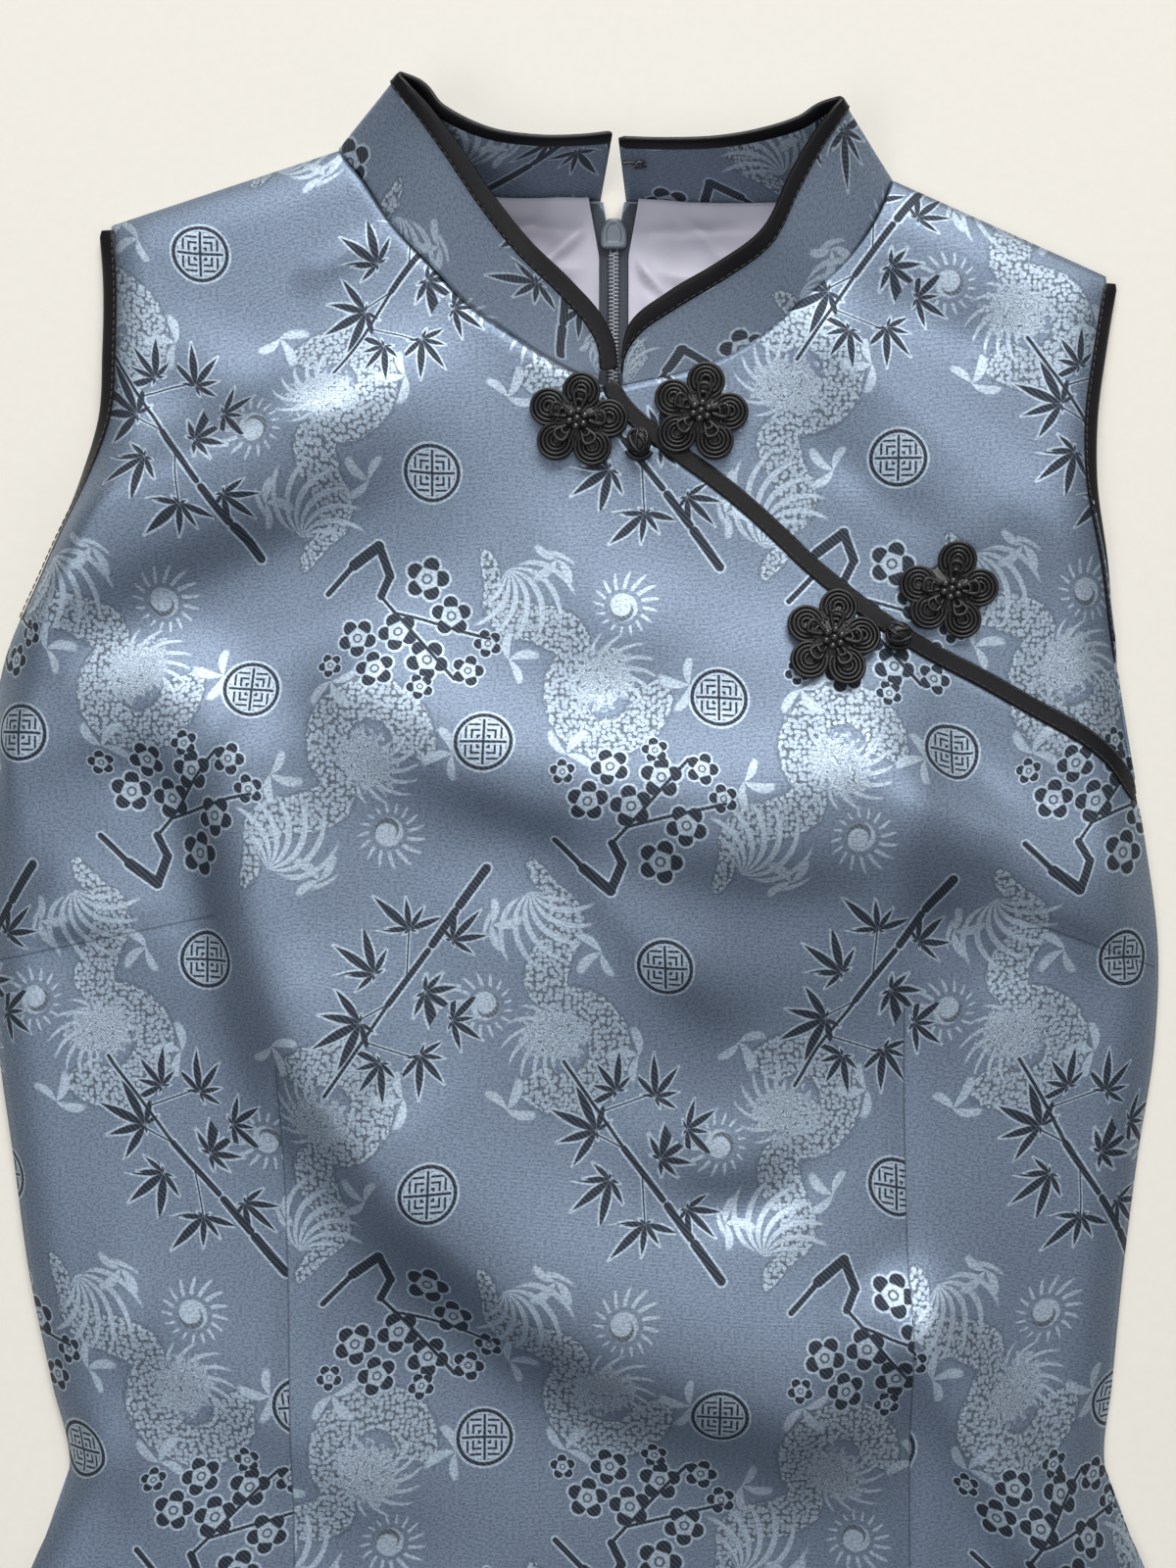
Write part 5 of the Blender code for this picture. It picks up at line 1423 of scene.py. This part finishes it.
def build_collar(settings):
    """Both halves of the stand collar with their satin binding."""
    for side in SIDES:
        seam, edge, width = collar_lines(side.collar, COLLAR_BETWEEN)
        up = unit(edge - seam)
        along = unit(np.gradient(edge, axis=0))
        corner = CORNER_STATIONS * COLLAR_BETWEEN // 2
        around = unit(np.cross(unit(np.cross(along[corner], up[corner])), along))
        blend = smooth_step((np.arange(len(seam)) - corner) / (1.5 * COLLAR_BETWEEN))[:, None]
        outward = unit(around * (1.0 - blend) + up * blend)
        face = unit(np.cross(along, outward))
        in_front = face[len(face) // 4]
        face = face * np.sign(-in_front[0] - in_front[1])

        shares = [-0.02, *np.linspace(0.04, 1.0, 9)]
        rows = [seam + (edge - seam) * share for share in shares] + [edge + outward * BINDING_TURN]
        grid = np.array(rows)
        grid[:, :, 2] = np.maximum(grid[:, :, 2], COLLAR_LOWEST)
        across = np.append(0.0, np.linalg.norm(np.diff(grid, axis=0), axis=2).mean(axis=1).cumsum())
        places = np.stack(np.broadcast_arrays(lengths_along(seam)[None, :], across[:, None]), axis=-1)
        places = places * np.array([-side.inward, 1.0]) + np.array(COLLAR_PATTERN)
        if side is LEFT:
            grid, places = grid[:, ::-1], places[:, ::-1]
        cloth = Stock()
        cloth.grid(grid, places)
        make_cloth(cloth, "collar_" + side.name, "brocade_collar", "brocade", settings.wall / MM)

        binding = Stock()
        bulge = np.minimum(settings.bulge / MM, 0.3 + width / 3.0)
        band(binding, edge, edge + outward * (SEAM_GAP + width)[:, None], face, bulge, COLLAR_BINDING_LIFT)
        make_binding(binding, "collar_binding_" + side.name)
        stitches = Stock()
        sew(stitches, edge + outward * STITCH_INSET + face * COLLAR_STITCH_LIFT, face, settings)
        stitches.make("collar_stitches_" + side.name, finish_of("thread_black"))


def build_bindings(settings):
    """Satin binding of the diagonal opening and of both armholes, with its stitching."""
    low = on_front(diagonal_edge(-BINDING / 2, 130), -DIAGONAL_SINK)
    high = on_front(diagonal_edge(BINDING / 2, 130), -DIAGONAL_SINK)
    face = np.broadcast_to(UP, low.shape)
    binding = Stock()
    band(binding, low, high, face, settings.bulge / MM, 0.0)
    make_binding(binding, "diagonal_binding")
    stitches = Stock()
    for line, inward in ((low, 1.0), (high, -1.0)):
        toward = unit(high - low) * inward
        sew(stitches, line + toward * STITCH_INSET + UP * DIAGONAL_STITCH_LIFT, face, settings)
    stitches.make("diagonal_stitches", finish_of("thread_black"))

    for side in SIDES:
        ys = np.linspace(side.underarm_y + UNDERARM_STEP, side.tip[1] - SHOULDER_STEP, 60)
        outer = np.stack([outline_x(side, ys), ys], axis=1)
        inner = armhole_line(side, ys, 0.0)
        face = np.broadcast_to(UP, (len(ys), 3))
        bulge = np.minimum(settings.bulge / MM, 0.5 + np.abs(outer[:, 0] - inner[:, 0]) / 5)
        front = Stock()
        band(front, on_front(inner, -ARMHOLE_SINK), on_front(outer, -ARMHOLE_SINK), face, bulge, 0.0)
        make_binding(front, "armhole_binding_front_" + side.name)
        back = Stock()
        band(back, at_height(inner, 0.0), at_height(outer, 0.0), face, BACK_BINDING_HALF, BACK_BINDING_LIFT)
        make_binding(back, "armhole_binding_back_" + side.name)
        stitches = Stock()
        toward = np.array([-side.inward, 0.0, 0.0])
        sew(stitches, on_front(inner, ARMHOLE_STITCH_LIFT) + toward * STITCH_INSET, face, settings)
        stitches.make("armhole_stitches_" + side.name, finish_of("thread_black"))


# -------------------- back, lining, zip and hook
def build_back():
    """The two flat back panels keep their solids and take the brocade."""
    for side in SIDES:
        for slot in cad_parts["back_" + side.name].material_slots:
            slot.material = finish_of("brocade_back")


def beside_zip(ys, side, distance):
    """Plan points at a distance to one side of the centre back line, following its parting."""
    x = centre_back(ys) - side.inward * (parting(ys) - SEAM_GAP / 2 + distance)
    return np.stack(np.broadcast_arrays(x, ys), axis=-1)


def build_lining():
    """The lining inside the neck, with soft creases that run out from the zip."""
    for side in SIDES:
        neck = neck_line(side, back=True)
        neck = neck[np.argsort(neck[:, 0])]
        reach = np.linspace(side.lining_low, side.lining_high, LINING_COUNT)
        columns = []
        for share in np.linspace(0.0, 1.0, LINING_COUNT) ** LINING_CROWDING:
            distance = LINING_EDGE + (reach - LINING_EDGE) * share
            x_top = beside_zip(CENTRE_BACK_TOP_Y, side, distance[-1])[0]
            top_y = np.interp(x_top, neck[:, 0], neck[:, 1]) - 0.2
            line = beside_zip(np.linspace(LINING_BOTTOM_Y, top_y, LINING_COUNT), side, distance)
            drop = smooth_step((distance - ZIP_TAPE_WIDTH - 2.0) / LINING_STEP)
            height = OVER_TAPE + (BESIDE_TAPE - OVER_TAPE) * drop + LINING_WALL
            height = height + LINING_ROLL * np.exp(-((distance - LINING_EDGE) / LINING_ROLL_WIDTH) ** 2)
            columns.append(at_height(line, height + lining_creases(line[:, 0], line[:, 1], distance)))
        if side is LEFT:
            columns.reverse()
        grid = np.array(columns).transpose(1, 0, 2)
        cloth = Stock()
        cloth.grid(grid, cloth_places(grid))
        make_cloth(cloth, "lining_" + side.name, "lining_satin", "lining", -LINING_SHELL)


def lining_creases(x, y, distance):
    """Height of the lining's creases, which die out toward the zip."""
    height = np.zeros(x.shape)
    for crease in CREASES:
        share, off_x, off_y = beside_stroke(x, y, (crease.x0, crease.y0), (crease.x1, crease.y1))
        away = np.hypot(off_x, off_y)
        swell = np.sin(math.pi * np.clip(share, 0.02, 0.98))
        height = height + crease.height * swell * np.exp(-(away / crease.width) ** 2)
    return height * smooth_step((distance - LINING_EDGE - 1.0) / 5.0)


def build_tapes():
    """The zip's two woven tapes."""
    ys = np.concatenate([straight(ZIP_BOTTOM_Y, 300.0, 30), straight(304.0, TAPE_TOP_Y, 40)])
    middle_z = TAPE_BOTTOM + ZIP_TAPE_WALL / 2
    for side in SIDES:
        inner = at_height(beside_zip(ys, side, ZIP_TAPE_INNER), middle_z)
        outer = at_height(beside_zip(ys, side, ZIP_TAPE_INNER + ZIP_TAPE_WIDTH), middle_z)
        woven = Stock()
        band(woven, inner, outer, np.broadcast_to(UP, inner.shape), ZIP_TAPE_WALL / 2, 0.0, closed=True)
        solid = "zip_tape_" + side.name
        piece = woven.make(solid + "_woven", finish_of("tape_weave"), "zip_tape", [solid])


def build_coil():
    """The interlocked coil: separate turns where it shows, and a plain core below."""
    coil = Stock()
    seat = COIL_BOTTOM + COIL_SEAT
    top_y = SLIDER_Y - SLIDER_LENGTH / 2
    radii = [point.radius for point in COIL_TURN]
    for number in range(int((top_y - COIL_LOW_Y) / COIL_PITCH)):
        for inward, shift in ((-1, 0.0), (1, COIL_PITCH / 2)):
            y = COIL_LOW_Y + number * COIL_PITCH + shift
            middle = float(centre_back(y))
            path = [(middle + inward * point.across, y, seat + point.up) for point in COIL_TURN]
            coil.tube(path, radii, sides=6)
    core_y = np.array([ZIP_BOTTOM_Y + 3.0, *np.linspace(0.0, COIL_LOW_Y, 12)])
    coil.tube(at_height(np.stack([centre_back(core_y), core_y], axis=1), seat), COIL_CORE, sides=10)
    thread_y = np.linspace(COIL_LOW_Y, top_y, 20)
    for shift in (-COIL_THREAD_OUT, COIL_THREAD_OUT):
        thread_line = np.stack([centre_back(thread_y) + shift, thread_y], axis=1)
        coil.tube(at_height(thread_line, seat), COIL_THREAD, sides=6)
    coil.make("zip_coil_teeth", finish_of("coil_plastic"), "zip_coil", ["zip_coil"])


def build_slider():
    """The plain slider, its levels stacked with soft edges."""
    slider = Stock()
    rows = [slider_outline(inset, COIL_BOTTOM + height) for inset, height in SLIDER_LEVELS]
    slider.grid(np.array(rows), around=True, capped=True)
    piece = slider.make("zip_slider_body", finish_of("slider_enamel"), "zip_slider", ["zip_slider"])
    soften = piece.modifiers.new("Edges", "BEVEL")
    soften.width = 0.12 * MM
    soften.segments = 2


def slider_outline(inset, height):
    """The slider's rounded plan at one height, drawn in by a distance."""
    half = SLIDER_HALF - inset
    high = SLIDER_LENGTH / 2 - inset
    corners = np.array([(-0.80 * half, -high), (0.80 * half, -high), (half, 1.2 - high), (half, 0.8),
                        (0.5 * half, high), (-0.5 * half, high), (-half, 0.8), (-half, 1.2 - high)])
    points = []
    for corner, before, after in zip(corners, np.roll(corners, 1, axis=0), np.roll(corners, -1, axis=0)):
        start, end = corner + (before - corner) * 0.3, corner + (after - corner) * 0.3
        for share in (0.0, 0.33, 0.67, 1.0):
            points.append(start * (1 - share) ** 2 + corner * 2 * share * (1 - share) + end * share ** 2)
    return at_height(np.array(points) + [float(centre_back(SLIDER_Y)), SLIDER_Y], height)


def on_collar(x, up):
    """A point on the leaning inner face of the back collar, where the hook is sewn."""
    above = HOOK_Z + up
    return np.array([x, HOOK_Y + above * COLLAR_LEAN, above])


def build_hook():
    """The bent wire hook and the thread that holds it inside the back collar."""
    turns = np.radians(np.linspace(-60.0, 240.0, 22))
    eye = [(HOOK_EYE[0] + HOOK_EYE_RADIUS * math.cos(turn), HOOK_EYE[1] + HOOK_EYE_RADIUS * math.sin(turn))
           for turn in turns]
    wire = Stock()
    wire.tube([on_collar(x, up) for x, up in resample(eye + HOOK_SHANK, 60)], HOOK_WIRE, sides=10)
    wire.make("collar_hook_wire", finish_of("hook_steel"), "steel", ["collar_hook"])

    holding = Stock()
    turn = np.linspace(0.0, math.pi, 7)[:, None]
    from_collar = np.array([0.0, -1.0, COLLAR_LEAN])
    for x, up in HOOK_STITCHES:
        outward = unit(np.array([x - HOOK_EYE[0], 0.0, up - HOOK_EYE[1]]))
        loop = on_collar(x, up) + outward * np.cos(turn) * 0.8 + from_collar * np.sin(turn) * 0.62
        holding.tube(loop, 0.2, sides=5)
    holding.make("hook_thread", finish_of("thread_black"))


# -------------------- frogs
def placed_plan(centre, turn, along, across):
    """Plan points given along and across a direction from a centre."""
    x = centre.x + along * math.cos(turn) - across * math.sin(turn)
    y = centre.y + along * math.sin(turn) + across * math.cos(turn)
    return np.stack([x, y], axis=-1)


def flower_seat(flower, plan):
    """Height of a flower's underside."""
    return front_height(plan[..., 0], plan[..., 1]) + flower.seat


def petal_dome(reach):
    """Height of a petal over its underside at a distance from its middle."""
    fall = np.sqrt(np.clip(1.0 - (reach / (PETAL_RADIUS * 1.12)) ** 2, 0.0, 1.0))
    return PETAL_RIM + (PETAL_HEIGHT - PETAL_RIM) * fall


def build_flower(flower, settings):
    """A flower of coiled cord: nested arcs for petals, looped cords inside them and a heart of beads."""
    cord_radius = settings.cord / MM
    coils = Stock()
    for number, degrees in enumerate(flower.petals):
        direction = math.radians(degrees)
        add_petal(coils, flower, number, direction, cord_radius)
        add_petal_loops(coils, flower, direction + 0.14 * math.sin(3.1 * number), cord_radius)
    add_pad(coils, flower)
    coils.make(flower.name + "_cord", finish_of("frog_cord"), "black_cord", [flower.name])

    hearts = Stock()
    seat = float(front_height(flower.x, flower.y)) + flower.seat + HEART_LIFT
    for number in range(BEADS_ROUND):
        turn = math.radians(360.0 / BEADS_ROUND * number + 20.0)
        x, y = placed_plan(flower, turn, BEAD_RING, 0.0)
        hearts.ball((x, y, seat), BEAD_RADIUS)
    hearts.ball((flower.x, flower.y, seat + 0.45), BEAD_RADIUS)
    hearts.make(flower.name + "_beads", finish_of("bead"))


def add_petal(stock, flower, number, direction, cord_radius):
    """One petal: arcs of cord inside each other, the outermost two high."""
    ring = PETAL_RING * (0.97 + 0.05 * math.sin(2.3 * number + flower.x))
    middle = placed_plan(flower, direction, ring, 0.0)
    for coil in range(PETAL_COILS):
        reach = PETAL_RADIUS - cord_radius - coil * PETAL_STEP * cord_radius
        if reach < 0.4:
            break
        open_by = math.radians(152.0 - 9.0 * coil)
        sweep = np.linspace(-open_by, open_by, 34 - 5 * coil) + direction
        plan = middle + reach * np.stack([np.cos(sweep), np.sin(sweep)], axis=1)
        height = flower_seat(flower, plan) + petal_dome(reach) - cord_radius * 0.9
        stock.tube(at_height(plan, height), cord_radius)
        if coil == 0:
            stock.tube(at_height(plan, height - 1.55 * cord_radius), cord_radius)


def add_petal_loops(stock, flower, turn, cord_radius):
    """The two loops of cord that run from a flower's heart into a petal, one inside the other."""
    bend = np.linspace(-1.0, 1.0, 25)
    swell = np.cos(bend * math.pi / 2)
    across = LOOP_HALF_WIDTH * np.sin(bend * math.pi * 0.86) * (0.55 + 0.45 * swell)
    reach = LOOP_START + LOOP_LENGTH * swell ** 0.8
    plan = placed_plan(flower, turn, reach, across)
    height = flower_seat(flower, plan) + LOOP_LIFT + LOOP_ARCH * swell
    stock.tube(at_height(plan, height), cord_radius * 1.15)
    plan = placed_plan(flower, turn, 3.0 + (reach - 3.0) * INNER_LOOP, across * INNER_LOOP)
    stock.tube(at_height(plan, height - 0.3), cord_radius)


def add_pad(stock, flower):
    """The stiffened cloth behind a flower's cords."""
    turns = np.linspace(0.0, 2 * math.pi, 80, endpoint=False)
    toward = np.min([np.abs((turns - math.radians(degrees) + math.pi) % (2 * math.pi) - math.pi)
                     for degrees in flower.petals], axis=0)
    toward = np.minimum(toward, math.asin(0.97 * PETAL_RADIUS / PETAL_RING))
    half_chord = np.sqrt(np.clip(PETAL_RADIUS ** 2 - (PETAL_RING * np.sin(toward)) ** 2, 0.0, None))
    outline = PETAL_RING * np.cos(toward) + half_chord - PAD_INSET
    rings = []
    for share, raised in PAD_LEVELS:
        reach = outline * share
        plan = np.stack([flower.x + reach * np.cos(turns), flower.y + reach * np.sin(turns)], axis=1)
        rings.append(at_height(plan, flower_seat(flower, plan) + raised))
    stock.grid(np.array(rings), around=True, capped=True)


def build_knot(knot):
    """A knot button woven of one cord round a core, and the loop that lies round it."""
    turn = math.radians(knot.turn)
    rim = np.linspace(0.0, 2 * math.pi, 13)
    seat = float(front_height(knot.x + 1.8 * np.cos(rim), knot.y + 1.8 * np.sin(rim)).max()) + KNOT_SEAT
    long, wide, high = (half - KNOT_CORD for half in (KNOT_HALF_LENGTH, KNOT_HALF_WIDTH, KNOT_HALF_HEIGHT))

    def knot_points(along, across, up):
        """Points given from the knot's middle in its own directions."""
        return at_height(placed_plan(knot, turn, along, across), seat + KNOT_HALF_HEIGHT + up)

    def on_core(share, tilt, angle):
        """Points of the knot's rounded core, at a share of its size."""
        return knot_points(share * long * np.cos(tilt), share * wide * np.sin(tilt) * np.cos(angle),
                           share * high * np.sin(tilt) * np.sin(angle))

    woven = Stock()
    angle = np.linspace(0.0, 2 * math.pi * KNOT_LEADS, 420, endpoint=False)
    tilt = math.pi / 2 + KNOT_SWING * np.sin(angle * KNOT_BIGHTS / KNOT_LEADS)
    over = 0.95 + KNOT_WEAVE * np.cos(angle * KNOT_BIGHTS * 2 / KNOT_LEADS + math.pi / 2)
    woven.tube(on_core(over, tilt, angle), KNOT_CORD, sides=7, closed=True)
    ring = np.linspace(0.0, 2 * math.pi, 18, endpoint=False)
    for end in (-1, 1):
        cap = knot_points(np.full(len(ring), end * long * 0.93), KNOT_CAP * wide * np.cos(ring),
                          KNOT_CAP * high * np.sin(ring))
        woven.tube(cap, KNOT_CORD * 0.9, sides=7, closed=True)
    rings = [on_core(0.9, np.full(len(ring), tilt), ring) for tilt in np.linspace(0.05, math.pi - 0.05, 12)]
    woven.grid(np.array(rings), around=True, capped=True)
    woven.make("knot_%s_woven" % knot.name, finish_of("frog_cord"), "black_cord", ["knot_" + knot.name])

    loop = Stock()
    sweep = np.radians(np.linspace(knot.loop_start, knot.loop_end, 36)) - turn
    plan = placed_plan(knot, turn, (KNOT_HALF_LENGTH + LOOP_CORD - LOOP_TUCK) * np.cos(sweep),
                       (KNOT_HALF_WIDTH + LOOP_CORD - LOOP_TUCK) * np.sin(sweep))
    height = front_height(plan[:, 0], plan[:, 1]) + KNOT_SEAT + LOOP_CORD
    loop.tube(at_height(plan, height), LOOP_CORD, sides=12)
    loop.make("loop_%s_cord" % knot.name, finish_of("frog_cord"), "black_cord", ["loop_" + knot.name])


# -------------------- floor, light and camera
def build_stage(settings):
    """Pale floor, soft light from above the collar and a camera straight above the bodice."""
    scene = bpy.context.scene
    sheet = bpy.data.meshes.new("floor")
    corners = ((-1, -1), (1, -1), (1, 1), (-1, 1))
    points = [(x * FLOOR_HALF, y * FLOOR_HALF, FLOOR_Z * MM) for x, y in corners]
    sheet.from_pydata(points, [], [(0, 1, 2, 3)])
    floor = bpy.data.objects.new("floor", sheet)
    scene.collection.objects.link(floor)
    floor.data.materials.append(finish_of("table_top"))

    aim = Vector((0.0, CAMERA_Y * MM, 0.0))
    for light in LIGHTS:
        lamp = bpy.data.lights.new(light.name, "AREA")
        lamp.shape = "RECTANGLE"
        lamp.size, lamp.size_y = light.width, light.height
        lamp.energy = light.watts * settings.lamps
        lamp.color = (light.red, light.green, light.blue)
        placed = bpy.data.objects.new(light.name, lamp)
        raised, turned = math.radians(light.raised), math.radians(light.turned)
        direction = Vector((math.sin(turned) * math.cos(raised), math.cos(turned) * math.cos(raised),
                            math.sin(raised)))
        placed.location = aim + direction * light.distance
        placed.rotation_euler = direction.to_track_quat("Z", "Y").to_euler()
        scene.collection.objects.link(placed)

    world = bpy.data.worlds.new("soft_room")
    world.use_nodes = True
    background = world.node_tree.nodes["Background"]
    background.inputs["Color"].default_value = ROOM_COLOUR
    background.inputs["Strength"].default_value = settings.room
    scene.world = world

    lens = bpy.data.cameras.new("camera")
    lens.sensor_fit = "VERTICAL"
    lens.sensor_height = SENSOR_HEIGHT
    lens.lens = settings.lens
    camera = bpy.data.objects.new("camera", lens)
    camera.location = (0.0, CAMERA_Y * MM, settings.camera_height)
    scene.collection.objects.link(camera)
    scene.camera = camera
    scene.view_settings.view_transform = "Standard"


# -------------------- add-on
class DressSizes(bpy.types.PropertyGroup):
    """Sizes that the dress's cloth and trimmings are made with."""

    wall: bpy.props.FloatProperty(
        name="Cloth", description="Thickness of the brocade with its backing",
        default=0.001, min=0.0003, max=0.002, unit="LENGTH", subtype="DISTANCE")
    bulge: bpy.props.FloatProperty(
        name="Binding bulge", description="Half the thickness of the folded satin binding",
        default=0.00095, min=0.0004, max=0.002, unit="LENGTH", subtype="DISTANCE")
    stitch_length: bpy.props.FloatProperty(
        name="Stitch length", description="Length of a stitch along the bindings",
        default=0.0022, min=0.001, max=0.006, unit="LENGTH", subtype="DISTANCE")
    stitch_gap: bpy.props.FloatProperty(
        name="Stitch gap", description="Distance between two stitches",
        default=0.0005, min=0.0002, max=0.003, unit="LENGTH", subtype="DISTANCE")
    cord: bpy.props.FloatProperty(
        name="Frog cord", description="Radius of the cord that the flowers are coiled of",
        default=0.00062, min=0.0003, max=0.001, unit="LENGTH", subtype="DISTANCE")


class DressColours(bpy.types.PropertyGroup):
    """Colours of the brocade's threads."""

    ground: bpy.props.FloatVectorProperty(
        name="Ground", description="Satin ground of the brocade",
        default=(0.185, 0.243, 0.340), min=0.0, max=1.0, subtype="COLOR")
    light: bpy.props.FloatVectorProperty(
        name="Light threads", description="Light threads of the woven pattern",
        default=(0.560, 0.680, 0.810), min=0.0, max=1.0, subtype="COLOR")
    # The dark threads' colour is also that of the painted shade along the dart seams and round the dragons.
    dark: bpy.props.FloatVectorProperty(
        name="Dark threads", description="Dark threads of the woven pattern",
        default=(0.022, 0.027, 0.040), min=0.0, max=1.0, subtype="COLOR")


class DressStage(bpy.types.PropertyGroup):
    """Light and camera."""

    lamps: bpy.props.FloatProperty(
        name="Lamps", description="Strength of the lamps beside their set power",
        default=1.0, min=0.0, max=4.0, subtype="FACTOR")
    room: bpy.props.FloatProperty(
        name="Room", description="Strength of the room's even light",
        default=0.11, min=0.0, max=4.0, subtype="FACTOR")
    camera_height: bpy.props.FloatProperty(
        name="Camera height", description="Height of the camera above the surface",
        default=0.6, min=0.3, max=3.0, unit="LENGTH", subtype="DISTANCE")
    lens: bpy.props.FloatProperty(
        name="Lens", description="Focal length of the camera",
        default=40.5, min=10.0, max=200.0, unit="CAMERA")


class DRESS_OT_front(bpy.types.Operator):
    """Lay the main front and the upper front over their solids"""

    bl_idname = "dress.front"
    bl_label = "Front"

    def execute(self, context):
        build_front(context.scene.dress_sizes)
        return {"FINISHED"}


class DRESS_OT_back(bpy.types.Operator):
    """Give the flat back panels their brocade"""

    bl_idname = "dress.back"
    bl_label = "Back panels"

    def execute(self, context):
        build_back()
        return {"FINISHED"}


class DRESS_OT_collar(bpy.types.Operator):
    """Make both halves of the stand collar with their binding"""

    bl_idname = "dress.collar"
    bl_label = "Collar"

    def execute(self, context):
        build_collar(context.scene.dress_sizes)
        return {"FINISHED"}


class DRESS_OT_bindings(bpy.types.Operator):
    """Bind the diagonal opening and the armholes"""

    bl_idname = "dress.bindings"
    bl_label = "Bindings"

    def execute(self, context):
        build_bindings(context.scene.dress_sizes)
        return {"FINISHED"}


class DRESS_OT_lining(bpy.types.Operator):
    """Lay the lining inside the neck"""

    bl_idname = "dress.lining"
    bl_label = "Lining"

    def execute(self, context):
        build_lining()
        return {"FINISHED"}


class DRESS_OT_zip(bpy.types.Operator):
    """Make the zip's tapes, coil and slider"""

    bl_idname = "dress.zip"
    bl_label = "Zip"

    def execute(self, context):
        build_tapes()
        build_coil()
        build_slider()
        return {"FINISHED"}


class DRESS_OT_hook(bpy.types.Operator):
    """Bend the collar hook and sew it on"""

    bl_idname = "dress.hook"
    bl_label = "Hook"

    def execute(self, context):
        build_hook()
        return {"FINISHED"}


class DRESS_OT_flowers(bpy.types.Operator):
    """Coil the frogs' flowers"""

    bl_idname = "dress.flowers"
    bl_label = "Frog flowers"

    def execute(self, context):
        for flower in FLOWERS:
            build_flower(flower, context.scene.dress_sizes)
        return {"FINISHED"}


class DRESS_OT_knots(bpy.types.Operator):
    """Weave the knot buttons and lay their loops"""

    bl_idname = "dress.knots"
    bl_label = "Knots and loops"

    def execute(self, context):
        for knot in KNOTS:
            build_knot(knot)
        return {"FINISHED"}


class DRESS_OT_stage(bpy.types.Operator):
    """Set up the floor, the light and the camera"""

    bl_idname = "dress.stage"
    bl_label = "Stage"

    def execute(self, context):
        build_stage(context.scene.dress_stage)
        return {"FINISHED"}


STEPS = (DRESS_OT_front, DRESS_OT_back, DRESS_OT_collar, DRESS_OT_bindings, DRESS_OT_lining, DRESS_OT_zip,
         DRESS_OT_hook, DRESS_OT_flowers, DRESS_OT_knots, DRESS_OT_stage)


class DRESS_PT_panel(bpy.types.Panel):
    """The dress's sizes, colours and steps"""

    bl_idname = "DRESS_PT_panel"
    bl_label = "Dress"
    bl_space_type = "VIEW_3D"
    bl_region_type = "UI"
    bl_category = "Dress"

    def draw(self, context):
        column = self.layout.column()
        for group in (context.scene.dress_sizes, context.scene.dress_colours, context.scene.dress_stage):
            for name in group.bl_rna.properties.keys():
                if name not in ("rna_type", "name"):
                    column.prop(group, name)
        for step in STEPS:
            column.operator(step.bl_idname)


CLASSES = (DressSizes, DressColours, DressStage, *STEPS, DRESS_PT_panel)


def register():
    """Make the dress's settings, steps and panel known to Blender."""
    for item in CLASSES:
        bpy.utils.register_class(item)
    bpy.types.Scene.dress_sizes = bpy.props.PointerProperty(type=DressSizes)
    bpy.types.Scene.dress_colours = bpy.props.PointerProperty(type=DressColours)
    bpy.types.Scene.dress_stage = bpy.props.PointerProperty(type=DressStage)


def unregister():
    """Take them out again."""
    del bpy.types.Scene.dress_sizes, bpy.types.Scene.dress_colours, bpy.types.Scene.dress_stage
    for item in reversed(CLASSES):
        bpy.utils.unregister_class(item)


def main():
    """Build every piece in order."""
    register()
    for step in STEPS:
        group, name = step.bl_idname.split(".")
        getattr(getattr(bpy.ops, group), name)()


if __name__ == "__main__":
    main()
